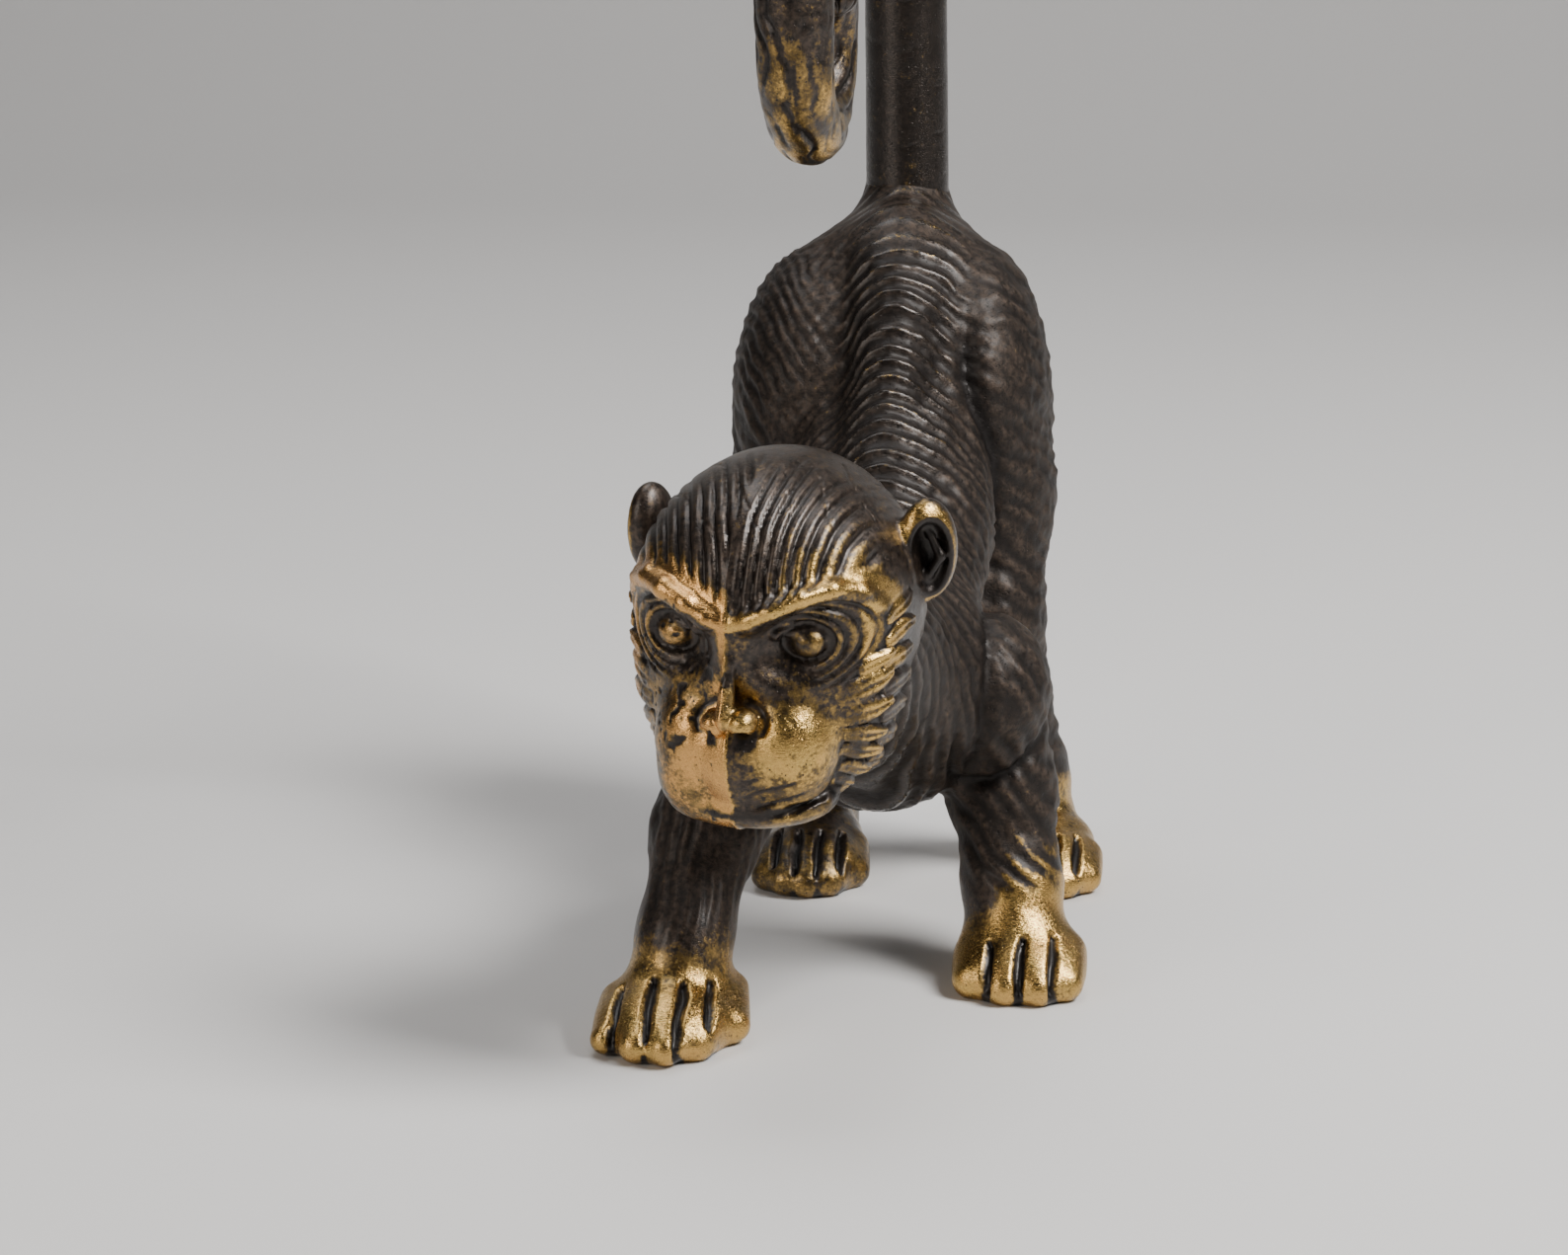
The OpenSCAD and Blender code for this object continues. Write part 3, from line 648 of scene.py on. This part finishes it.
# %% Where the finish was rubbed
def rubbed(p, q, near, leaf):
    """Polish from 0 to 1: brows, the nose's edge and the muzzle, ear rims, tips of the tufts, hands and
    feet."""
    x, y, z = q.T
    m = np.abs(x)
    right = x < 0
    top, foot = along(brow_top, x), along(brow_foot, x)
    # brows, the cut ends above them and the temples
    band = ramp(z, foot - 0.5, foot + 0.3) * ramp(z, top + 0.9, top - 0.2) * ramp(y, -2, -6)
    teeth = np.where(right, ramp(z, top + 4.6, top + 0.2), 0.62 * ramp(z, 21, 13) * ramp(m, 3, 9))
    teeth = teeth * (z > top - 0.5) * ramp(y, -3, -8)
    temple = ramp(m, 15.2, 16.4) * ramp(z, 10, 8) * ramp(z, -4, -1) * ramp(y, -1.5, -4) * 0.8
    # muzzle: copper on the right, ragged at its edges, and a plainer rub on the left
    upper = np.interp(x, [-14, -9.8, -4.9, 0, 4, 10.8, 12], [-7, -2.8, 0.2, 0.5, -1.7, -4, -6])
    plain_side = 0.44 + 0.42 * ramp(np.hypot(x - 8, z + 9), 7.5, 2)
    plain_side -= 0.24 * ramp(m, 5.2, 2.2) * ramp(z, -7.5, -9.5)
    cheek_edge = ramp(x, -6.5, -11)
    chin_edge = 0.9 * ramp(z, -11.5, -17.5) * ramp(x, -2, -5)
    beside_nose = 1.1 * ramp(np.hypot(x + 6, z + 3), 5.5, 1)
    copper_side = 0.86 - 0.42 * np.max([cheek_edge, chin_edge, beside_nose], 0)
    muzzle = np.where(right, copper_side, plain_side)
    muzzle = muzzle * ramp(z, upper + 1.5, upper - 2.5) * ramp(y, -8.5, -13)
    # nose, eyes, tufts and a thin glaze over the rest of the face
    ridge = np.exp(-((x + 0.75) / 0.75) ** 2) * ramp(y, -15, -17) * ramp(z, 9, 7)
    nose = 0.8 * ramp(np.hypot(m - 2.2, z + 5.6), 2.4, 1.4) * (y < -19)
    u, e = eye_shape(q)
    eye = (0.4 * ramp(e, 2.4, 1.2) + 0.4 * ramp(e, 2.6, 2.9) * ramp(e, 6.8, 5.6) * ramp(u, -2, 3)) * (y < -8)
    eye = np.where(right, eye * 1.3, eye)
    tuft = ramp(leaf, 0.4, 0.8) * np.where(0.62 * m + 0.78 * y < 6.5, 0.9, 0.42)
    glaze = 0.30 * ramp(y, -4, -9) * ramp(m, 18.5, 16) * ramp(z, top + 1, top - 1)
    glaze = glaze * (1 - 0.6 * ramp(e, 6, 3.5)) * (1 - 0.7 * ramp(m, 8.5, 5))
    face = np.max([band, 0.9 * teeth, muzzle, ridge, nose, eye, temple, tuft, glaze], 0) * (y < 5)
    # rims of the ears
    ear = np.minimum(near["ear_left"], near["ear_right"])
    on_ear = ramp(ear - near["skull"], 0.5, -0.5)
    rim = np.where(right, 0.95 * ramp(m, 21.6, 22.6), 0.95 * ramp(y - 0.55 * (m - 20), 6.8, 4.6))
    face = np.maximum(face * (1 - on_ear), on_ear * rim * (1 - ear_cup(q)))
    # hands and feet, fading up the wrists and ankles
    side, height = p[:, 0], p[:, 2]
    tide = 4 * wobble(p, 5, 12) + 2.4 * wobble(p, 1.8, 13)
    # the height at which the rub has faded away on each limb
    wrist = {"foreleg_right": 14, "foreleg_left": 12 + 10 * ramp(side, 17, 21.5),
             "hindleg_left": 6 + 13 * ramp(side, 16, 20), "hindleg_right": 11}
    best = np.min([near[n] for n in wrist], 0)
    paw = sum(np.where(near[n] <= best, ramp(height + tide, up + 3, up - 7), 0) for n, up in wrist.items())
    paw = np.where(near["hindleg_right"] <= best, paw * 0.45, paw * (0.66 + 0.42 * lumps(p, 4, 19)))
    return np.clip(np.where(head_share(near) > 0.5, face, paw), 0, 1)


# %% [markdown]
# ## Netting the figure and cutting it into castings
# The body is netted in cells of four tenths of a millimetre and the head in finer ones, because the
# eye dwells on the face. The skin is cut where one casting meets the next: at the creases of the limbs
# and ears, on the neck's plane, and down the middle for the halves. Neighbours share the same cut
# vertices, so no gap shows, and each piece is closed with a lid inside.

# %% Relief, then the pieces
fine = 0.42
finer = 0.29
tail_foot_top = 109.5      # the trunk ends here and the tail's rod goes on
neck_point, neck_normal = np.array([-6, -45, 59.0]), spin("z", -8) @ spin("x", 65) @ np.array([0, 0, 1.0])


def relief(points, normals):
    """Moves the skin along its normals by the lines' height, and returns the finish's four numbers and
    the distance to every group."""
    p = points.astype(np.float32)
    near = {name: group_distance(p, name) for name in groups}
    q = to_head(p).astype(float)
    body_h, body_d, crest = body_lines(p, near)
    head_h, head_d, leaf = head_lines(q)
    share = head_share(near)
    on_ear = ramp(np.minimum(near["ear_left"], near["ear_right"]) - near["skull"], 0.4, -0.4)
    head_h, head_d = head_h * (1 - on_ear), np.maximum(head_d * (1 - on_ear), 0.9 * on_ear * ear_cup(q))
    paw = ramp(p[:, 2], 1.0, 2.5)
    slot = paw_slots(points, near)
    height = np.where(share > 0, share * head_h + (1 - share) * body_h, body_h * paw - 1.05 * slot * paw)
    hollow = np.maximum(share * head_d + (1 - share) * body_d, 1.3 * slot)
    polish = rubbed(points, q, near, leaf)
    moved = points + normals * height[:, None]
    moved[:, 2] = np.maximum(moved[:, 2], 0)
    copper = share * ramp(q[:, 0], 0.4, -0.6) * ramp(q[:, 1], -4, -9)
    polish = np.maximum(polish, 0.16 * (1 - share) * crest)
    dull = (1 - share) * (0.22 - 0.36 * np.clip(crest, 0, 1)) * ramp(points[:, 2], 12, 22)
    return moved, {"polish": polish, "copper": copper, "dull": dull, "hollow": np.clip(hollow, 0, 1.3)}, near


def placed(name, data):
    """An object made from a mesh, a lamp or a camera, and put into the scene."""
    thing = bpy.data.objects.new(name, data)
    bpy.context.collection.objects.link(thing)
    return thing


def lids(points, faces):
    """Triangles that close every open loop of the faces, each loop as a fan from its own middle."""
    a, b = faces.ravel(), np.roll(faces, -1, 1).ravel()
    key, back = a.astype(np.int64) * len(points) + b, b.astype(np.int64) * len(points) + a
    open_edge = ~np.isin(key, back)
    onward = {}
    for s, e in zip(a[open_edge].tolist(), b[open_edge].tolist()):
        onward.setdefault(s, []).append(e)
    extra, fans = [], []
    while onward:
        start = here = next(iter(onward))
        loop = []
        while here in onward:
            loop.append(here)
            step = onward[here].pop()
            if not onward[here]:
                del onward[here]
            here = step
            if here == start:
                break
        middle = len(points) + len(extra)
        extra.append(points[loop].mean(0))
        fans += [(loop[(i + 1) % len(loop)], loop[i], middle) for i in range(len(loop))]
    return extra, fans


def casting(name, points, faces, finish):
    """A closed mesh object, in metres, from some of the skin's faces, with the finish's numbers on it."""
    used, local = np.unique(faces, return_inverse=True)
    local = local.reshape(faces.shape)
    pts = points[used]
    extra, fans = lids(pts, local)
    if extra:
        pts = np.concatenate([pts, extra])
    mesh = bpy.data.meshes.new(name)
    quads, tris = local.astype(np.int32), np.array(fans, np.int32).reshape(-1, 3)
    mesh.vertices.add(len(pts))
    mesh.vertices.foreach_set("co", ((pts + stand) * 0.001).astype(np.float32).ravel())
    mesh.loops.add(quads.size + tris.size)
    mesh.loops.foreach_set("vertex_index", np.concatenate([quads.ravel(), tris.ravel()]))
    mesh.polygons.add(len(quads) + len(tris))
    starts = np.concatenate([np.arange(len(quads)) * 4, len(quads) * 4 + np.arange(len(tris)) * 3])
    mesh.polygons.foreach_set("loop_start", starts.astype(np.int32))
    mesh.update(calc_edges=True)
    for key, values in finish.items():
        layer = mesh.attributes.new(key, "FLOAT", "POINT")
        padded = np.concatenate([values[used], np.zeros(len(extra))])
        layer.data.foreach_set("value", padded.astype(np.float32))
    mesh.validate()
    return placed(name, mesh)


def halve(piece, name, point, normal):
    """Keeps the part of a closed piece on the side that normal points to, and closes it on the plane."""
    mesh = piece.data.copy()
    mesh.name = name
    bm = bmesh.new()
    bm.from_mesh(mesh)
    bmesh.ops.bisect_plane(bm, geom=bm.verts[:] + bm.edges[:] + bm.faces[:], dist=1e-8, clear_inner=True,
                           plane_co=[v * 0.001 for v in point], plane_no=list(normal))
    rim = [e for e in bm.edges if e.is_boundary]
    bmesh.ops.holes_fill(bm, edges=rim, sides=0)
    bmesh.ops.recalc_face_normals(bm, faces=bm.faces[:])
    bm.to_mesh(mesh)
    bm.free()
    return placed(name, mesh)


def finish_mesh(piece):
    """Smooth shading everywhere but over the sharp rims of the lids."""
    piece.data.shade_smooth()
    piece.data.set_sharp_from_angle(angle=math.radians(62))
    print(piece.name, "faces", len(piece.data.polygons))


# %% Netting a box of the skin and sharing it out
def netted(near_corner, far_corner, cell):
    """The skin inside a box, with its relief: its points and faces, the middle of every face, the
    finish's four numbers and the distance to every group."""
    lattice, low = sample(skin, near_corner, far_corner, cell)
    points, faces = net(lattice, low, cell)
    points, finish, near = relief(points, corner_normals(points, faces))
    print("net:", len(points), "vertices")
    return points, faces, points[faces].mean(1), finish, near


def face_means(near, names, faces):
    """The mean distance from every face to each of the named groups."""
    return np.stack([near[name] for name in names], 1)[faces].mean(1)


def share_out(names, points, faces, nearest, finish):
    """One casting for each name, from the faces that are nearest to that group."""
    own = np.argmin(nearest, 1)
    return {name: casting(name + "_skin", points, faces[own == i], finish)
            for i, name in enumerate(names)}


# %% Cut the body
points, faces, middle, finish, near = netted((-40, -72, -2), (38, 80, 112), fine)
keep = ((middle - neck_point) @ neck_normal <= 0) & (middle[:, 2] < tail_foot_top)
nearest = face_means(near, body_groups, faces)
pieces = share_out(body_groups, points, faces[keep], nearest[keep], finish)

# %% Cut the head and the ears
box_floor = 33.5      # below the chin the box cuts through the limbs
points, faces, middle, finish, near = netted((-36, -90, 32), (20, -30, 96), finer)
nearest = face_means(near, head_groups, faces)
keep = ((middle - neck_point) @ neck_normal > 0) & (middle[:, 2] > box_floor)
keep &= face_means(near, limbs, faces).min(1) >= nearest.min(1)
pieces.update(share_out(head_groups, points, faces[keep], nearest[keep], finish))

# %% Halves on the spine's plane and on the face's plane
spine = np.array([1.0, 0, 0])
pieces["trunk_left"] = halve(pieces["trunk"], "trunk_left_skin", stand, spine)
pieces["trunk_right"] = halve(pieces["trunk"], "trunk_right_skin", stand, -spine)
mid_face = head_turn @ spine
pieces["head_left"] = halve(pieces["skull"], "head_left_skin", head_centre + stand, mid_face)
pieces["head_right"] = halve(pieces["skull"], "head_right_skin", head_centre + stand, -mid_face)
for spent in ("trunk", "skull"):
    bpy.data.objects.remove(pieces.pop(spent))
for piece in pieces.values():
    finish_mesh(piece)

# %% [markdown]
# ## The tail
# One long rod rises from the rump, arches forward and drops into a curl. It is a round profile carried
# along a path, thinner towards the tip, with fine engraved lines that run with the rod and lean round
# it. The path is the same one the solids follow: a rise, half an ellipse, a drop and a spiral.

# %% Tail path and surface
def tail_path(n):
    """Points along the rise, the arch, the drop and the spiral, smoothed and spaced evenly by length."""
    t = np.linspace(0, 1, 40, endpoint=False)
    seat, spring, top = 101.0, 156.0, 218 - 156 - 5.95
    rise = np.stack([-t, 57 + 4 * t - 2 * t * t, seat + 3 + (spring - seat - 3) * t], 1)
    arch = np.stack([-1 - 8 * t, 59 - 46.5 * (1 - np.cos(np.pi * t)), spring + top * np.sin(np.pi * t)], 1)
    drop = np.stack([-9 + 0.2 * t, -34 - t * (1 - t), spring - (spring - 137.9) * t], 1)[::4]
    r, a = 13 * (1 - 0.6 * t), np.radians(335) * t
    curl = np.stack([-8.8 + 5 * t, -21 + 3 * t - r * np.cos(a), 137.9 + 3 * t - r * np.sin(a)], 1)
    line = np.concatenate([[[0, 57, 99.0]], rise, arch, drop, curl])
    length = np.concatenate([[0], np.cumsum(np.linalg.norm(np.diff(line, axis=0), axis=1))])
    s = np.linspace(0, length[-1], n)
    line = np.stack([np.interp(s, length, line[:, i]) for i in range(3)], 1)
    for _ in range(int(n / 150)):
        line[1:-1] = (line[:-2] + 2 * line[1:-1] + line[2:]) / 4
    return line, s


def tail_surface(n, m):
    """The grid of the tail: a ring of m points, of radius girth, square to the path at each of n
    stations, closed with a rounded tip; the frame is turned along the path without twist."""
    line, s = tail_path(n)
    ahead = np.gradient(line, axis=0)
    ahead /= np.linalg.norm(ahead, axis=1, keepdims=True)
    side = np.cross(ahead, [1.0, 0, 0])
    side /= np.linalg.norm(side, axis=1, keepdims=True)
    other = np.cross(ahead, side)
    u = s / s[-1]
    girth = 6.6 - 0.7 * u - 3.1 * u ** 8
    tip = np.clip((1 - u) * s[-1] / 2.6, 0, 1)
    girth = girth * np.sqrt(1 - (1 - tip) ** 2)
    v = np.linspace(0, 2 * np.pi, m, endpoint=False)
    ring = np.cos(v)[None, :, None] * side[:, None] + np.sin(v)[None, :, None] * other[:, None]
    return line, s, girth, v, ring


rings, around = ((1150, 84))
line, s, girth, v, ring = tail_surface(rings, around)
flat = line[:, None] + ring * girth[:, None, None]
p = flat.reshape(-1, 3)
curl_share = np.repeat(ramp(s / s[-1], 0.66, 0.74), around)
angle, run = np.tile(v, rings), np.repeat(s, around)
wander = 1.4 * wobble(p, 7, 21) + 0.7 * wobble(p, 2.5, 22)
lean = np.sin(angle + 0.9)
fine_cut = cuts(angle * 3.4 + 0.13 * run * np.sign(lean) + 1.5 * wander, 2.1, 0.30)
fine_cut = fine_cut * (0.3 + 0.7 * ramp(lumps(p, 3.2, 23), 0.35, 0.6))
fine_cut = fine_cut * (0.35 + 0.65 * ramp(np.abs(lean), 0.15, 0.5))
worked = 0.5 * wobble(p, 3.2, 25) + 0.22 * wobble(p, 1.5, 26)
from_seam = np.abs((angle + np.pi) % (2 * np.pi) - np.pi)
nick = cuts(run + 2.2 * from_seam + 2 * wander, 7.5, 0.35) * (lumps(p, 5, 27) > 0.6)
height = -0.36 * fine_cut * curl_share + worked * (0.12 + 0.48 * curl_share) - 0.04 * nick * (1 - curl_share)
height *= np.repeat(ramp(girth, 0.4, 2.0), around) * np.repeat(ramp(s, 4, 16), around)
p = p + ring.reshape(-1, 3) * height[:, None]
under = ramp(p[:, 2], 151, 130) * curl_share
tail_finish = {"polish": np.clip(under * (0.1 + 0.8 * lumps(p, 5, 24)), 0, 1),
               "hollow": np.clip(fine_cut * curl_share + 0.12 * nick * (1 - curl_share), 0, 1),
               "copper": 0 * under,
               "dull": -0.13 * (1 - curl_share)}
i, j = np.meshgrid(np.arange(rings - 1), np.arange(around), indexing="ij")
k = (j + 1) % around
quads = np.stack([i * around + j, (i + 1) * around + j, (i + 1) * around + k, i * around + k], -1)
pieces["tail"] = casting("tail_skin", p, quads.reshape(-1, 4), tail_finish)
finish_mesh(pieces["tail"])

# %% [markdown]
# ## The finish
# Brass is darkened in a bath of salts until it is brown-black, waxed, and then rubbed with a cloth and a
# burnisher. The rubbing takes the dark off the high places in ragged patches and never reaches the
# bottoms of the cuts. One node group works out that wear, and the painted shade in a few creases, from
# the four numbers kept on the vertices and from noise in the object's own space, and both finishes use it
# with their own settings.

# %% Node helpers
def new_group(name, inputs, outputs):
    """An empty shader node group with named float inputs (name: default) and outputs (name: kind)."""
    tree = bpy.data.node_groups.new(name, "ShaderNodeTree")
    for key, value in inputs.items():
        socket = tree.interface.new_socket(key, in_out="INPUT", socket_type="NodeSocketFloat")
        socket.default_value = value
    for key, kind in outputs.items():
        tree.interface.new_socket(key, in_out="OUTPUT", socket_type="NodeSocket" + kind)
    return tree, tree.nodes.new("NodeGroupInput").outputs, tree.nodes.new("NodeGroupOutput").inputs


class Wires:
    """Adds nodes to a tree. A value given as a number or colour is set, and a socket is linked."""

    def __init__(self, tree):
        """Keeps the tree that the nodes go into."""
        self.tree = tree

    def put(self, socket, value):
        """Links a socket to the value if that is a socket too, or else sets it."""
        if isinstance(value, bpy.types.NodeSocket):
            self.tree.links.new(value, socket)
        else:
            socket.default_value = value

    def math(self, operation, a, b, clamp=False):
        """One sum on two values, kept between 0 and 1 if clamp is true."""
        node = self.tree.nodes.new("ShaderNodeMath")
        node.operation, node.use_clamp = operation, clamp
        self.put(node.inputs[0], a)
        self.put(node.inputs[1], b)
        return node.outputs[0]

    def add(self, a, b, clamp=False):
        """a + b"""
        return self.math("ADD", a, b, clamp)

    def less(self, a, b, clamp=False):
        """a - b"""
        return self.math("SUBTRACT", a, b, clamp)

    def times(self, a, b, clamp=False):
        """a b"""
        return self.math("MULTIPLY", a, b, clamp)

    def ramp(self, value, low, high, to_low=0.0, to_high=1.0):
        """A smooth step from to_low at low to to_high at high."""
        node = self.tree.nodes.new("ShaderNodeMapRange")
        node.interpolation_type = "SMOOTHSTEP"
        for socket, v in zip(node.inputs, (value, low, high, to_low, to_high)):
            self.put(socket, v)
        return node.outputs[0]

    def place(self):
        """The point in the object's own space."""
        return self.tree.nodes.new("ShaderNodeTexCoord").outputs["Object"]

    def drawn_out(self, place, stretch):
        """The place turned askew and scaled by axis, so that noise on it runs in one direction."""
        turn = self.tree.nodes.new("ShaderNodeMapping")
        turn.inputs["Scale"].default_value = stretch
        turn.inputs["Rotation"].default_value = (0.3, 0.5, 0.7)
        self.put(turn.inputs["Vector"], place)
        return turn.outputs["Vector"]

    def noise(self, scale, detail, roughness=0.6, place=None):
        """Soft noise between 0 and 1, so many to the metre."""
        node = self.tree.nodes.new("ShaderNodeTexNoise")
        self.put(node.inputs["Vector"], place or self.place())
        self.put(node.inputs["Scale"], scale)
        node.inputs["Detail"].default_value = detail
        node.inputs["Roughness"].default_value = roughness
        return node.outputs["Fac"]

    def cells(self, scale):
        """The distance to the nearest of scattered points, so many to the metre."""
        node = self.tree.nodes.new("ShaderNodeTexVoronoi")
        self.put(node.inputs["Vector"], self.place())
        self.put(node.inputs["Scale"], scale)
        return node.outputs["Distance"]

    def mix(self, share, a, b):
        """Colour a at share 0, and b at share 1."""
        node = self.tree.nodes.new("ShaderNodeMix")
        node.data_type = "RGBA"
        self.put(node.inputs["Factor"], share)
        self.put(node.inputs["A"], a)
        self.put(node.inputs["B"], b)
        return node.outputs["Result"]


# %% The worn patina group, which also paints the crease shade
tree, given, result = new_group(
    "worn_patina_crease_shade",
    {"Polish": 0.0, "Hollow": 0.0, "Copper": 0.0, "Dull": 0.0, "Warmth": 0.5, "Wear": 0.0},
    {"Base Color": "Color", "Metallic": "Float", "Roughness": "Float", "Height": "Float", "Coat": "Float"})
w = Wires(tree)
deep_brown, dark_brown = (0.009, 0.0068, 0.0058, 1), (0.015, 0.0108, 0.0082, 1)
light_brown = (0.072, 0.050, 0.036, 1)
dark_olive, light_olive = (0.10, 0.066, 0.025, 1), (0.24, 0.155, 0.052, 1)
bright_gold, red_copper = (0.58, 0.385, 0.115, 1), (0.62, 0.335, 0.112, 1)
dark_grain = (0.28, 0.18, 0.07, 1)
blotch, speck, fine_grain = w.noise(260, 4), w.noise(1100, 3), w.noise(3400, 2)
scratch = w.noise(900, 2, 0.5, w.drawn_out(w.place(), (1.0, 9.0, 9.0)))
pit = w.ramp(w.add(w.cells(1150), w.times(speck, 0.35)), 0.20, 0.36)

# %% How far the glaze is rubbed away
rag = w.add(w.times(w.less(blotch, 0.5), 0.85), w.times(w.less(speck, 0.5), 0.75))
rag = w.add(rag, w.times(w.less(w.noise(2000, 2), 0.5), 0.8))
worn = w.less(w.add(w.add(given["Polish"], rag), given["Wear"]), w.times(given["Hollow"], 0.95))
worn = w.less(worn, w.ramp(pit, 0.0, 1.0, 0.5, 0.0))
glazed, bare = w.ramp(worn, 0.10, 0.45), w.ramp(worn, 0.38, 0.80)

# %% Colour from brown glaze to olive to gold
plain = w.add(w.times(given["Dull"], 6.0), 1.0, clamp=True)
brown = w.mix(w.times(w.ramp(speck, 0.3, 0.75), plain), dark_brown, light_brown)
# hollow darkens the brown to deep brown: patina in the cuts, and painted shade in the creases at the
# shoulder, the left limbs and the nose's wings
brown = w.mix(w.times(given["Hollow"], 0.9, clamp=True), brown, deep_brown)
olive = w.mix(w.ramp(blotch, 0.35, 0.65), dark_olive, light_olive)
warm = w.add(given["Warmth"], w.times(given["Copper"], 0.8))
gold = w.mix(w.add(warm, w.less(blotch, 0.5), clamp=True), bright_gold, red_copper)
gold = w.mix(w.ramp(fine_grain, 0.35, 0.6, 0.35, 0.0), gold, dark_grain)
w.put(result["Base Color"], w.mix(bare, w.mix(glazed, brown, olive), gold))

# %% Shine and grain
w.put(result["Metallic"], w.ramp(glazed, 0, 1, 0.68, 1.0))
dull = w.add(w.ramp(speck, 0.2, 0.8, 0.26, 0.42), given["Dull"])
shine = w.add(w.ramp(scratch, 0.35, 0.65, 0.15, 0.25), w.times(speck, 0.08))
w.put(result["Roughness"], w.add(w.times(dull, w.less(1.0, bare)), w.times(shine, bare)))
height = w.add(w.times(pit, 0.55), w.times(speck, 0.5))
height = w.add(height, w.times(fine_grain, 0.18))
w.put(result["Height"], w.add(height, w.times(scratch, 0.3)))
w.put(result["Coat"], w.less(w.ramp(bare, 0, 1, 0.30, 0.05), given["Dull"], clamp=True))
patina = tree


def brass(name, warmth, wear, bump):
    """A brass finish: the worn patina group, fed with the vertices' numbers, driving the shader."""
    material = bpy.data.materials.new(name)
    material.use_nodes = True
    tree = material.node_tree
    shader = tree.nodes["Principled BSDF"]
    shader.inputs["Coat Roughness"].default_value = 0.28
    shader.inputs["IOR"].default_value = 1.5
    work = tree.nodes.new("ShaderNodeGroup")
    work.node_tree = patina
    for key in ("Polish", "Hollow", "Copper", "Dull"):
        number = tree.nodes.new("ShaderNodeAttribute")
        number.attribute_name = key.lower()
        tree.links.new(number.outputs["Fac"], work.inputs[key])
    work.inputs["Warmth"].default_value = warmth
    work.inputs["Wear"].default_value = wear
    press = tree.nodes.new("ShaderNodeBump")
    press.inputs["Strength"].default_value = bump
    press.inputs["Distance"].default_value = 0.00025
    tree.links.new(work.outputs["Height"], press.inputs["Height"])
    tree.links.new(press.outputs["Normal"], shader.inputs["Normal"])
    for key in ("Base Color", "Metallic", "Roughness"):
        tree.links.new(work.outputs[key], shader.inputs[key])
    tree.links.new(work.outputs["Coat"], shader.inputs["Coat Weight"])
    return material


finishes = {"dark_brass": brass("dark_brass", 0.25, -0.04, 0.8),
            "rubbed_brass": brass("rubbed_brass", 0.2, 0.0, 0.65)}
slot_of = {s["node"]: s["material_slot"] for s in frame["record"]["subparts"]}
for name, piece in pieces.items():
    piece.data.materials.append(finishes[slot_of[name]])
    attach(piece, "root")
    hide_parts(name)
print("finishes on", len(pieces), "pieces")

# %% [markdown]
# ## Floor, light and camera
# The figure stands on a plain pale floor that sweeps up behind it. A large soft lamp at the upper right
# gives the broad sheen on the back, a weaker warm one at the left front opens the shadows on the face.

# %% Floor
def plain(name, colour, roughness):
    """A plain matt material for the stage."""
    material = bpy.data.materials.new(name)
    material.use_nodes = True
    shader = material.node_tree.nodes["Principled BSDF"]
    shader.inputs["Base Color"].default_value = (*colour, 1)
    shader.inputs["Roughness"].default_value = roughness
    return material


def sweep(width, front, back, rise, bend):
    """The floor and backdrop as one strip: flat, a quarter circle, then upright."""
    t = np.linspace(0, np.pi / 2, 24)
    y = np.concatenate([[front], back + bend * np.sin(t), [back + bend]])
    z = np.concatenate([[0], bend * (1 - np.cos(t)), [rise]])
    n = len(y)
    pts = np.stack([np.repeat([-width, width], n), np.tile(y, 2), np.tile(z, 2)], 1)
    i = np.arange(n - 1)
    mesh = bpy.data.meshes.new("studio_floor")
    mesh.from_pydata(pts.tolist(), [], np.stack([i, i + n, i + n + 1, i + 1], 1).tolist())
    mesh.shade_smooth()
    return placed("studio_floor", mesh)


floor = sweep(3.0, -2.5, 0.75, 3.0, 0.5)
floor.data.materials.append(plain("pale_floor", (0.62, 0.61, 0.60), 0.7))


# %% Lamps and room
def lamp(name, spot, aim, size, watts, colour):
    """A square area lamp at a spot, turned towards a point."""
    light = bpy.data.lights.new(name, "AREA")
    light.size, light.energy, light.color = size, watts, colour
    thing = placed(name, light)
    away = np.array(spot, float) - np.array(aim, float)
    flat = math.hypot(away[0], away[1])
    thing.location = spot
    thing.rotation_euler = (math.atan2(flat, away[2]), 0, math.atan2(away[0], -away[1]))
    return thing


lamp("key", (0.55, -0.22, 0.75), (0, -0.02, 0.08), 0.38, 15, (1.0, 0.985, 0.97))
lamp("fill", (-0.75, -0.8, 0.5), (0, -0.02, 0.08), 0.5, 4.5, (1.0, 0.93, 0.86))
lamp("top", (-0.1, 0.25, 1.0), (0, 0, 0.1), 0.6, 5.0, (0.97, 0.98, 1.0))
world = bpy.data.worlds.new("room")
world.use_nodes = True
world.node_tree.nodes["Background"].inputs["Color"].default_value = (0.75, 0.76, 0.78, 1)
world.node_tree.nodes["Background"].inputs["Strength"].default_value = 0.08
bpy.context.scene.world = world

# %% Camera
lens = bpy.data.cameras.new("camera")
lens.lens, lens.sensor_width = 102.9, 36.0
lens.clip_start = 0.01
camera = placed("camera", lens)
camera.location = (0.05594, -0.64886, 0.211)
camera.rotation_euler = (math.radians(90 - 13.843), 0, math.radians(6))
bpy.context.scene.camera = camera
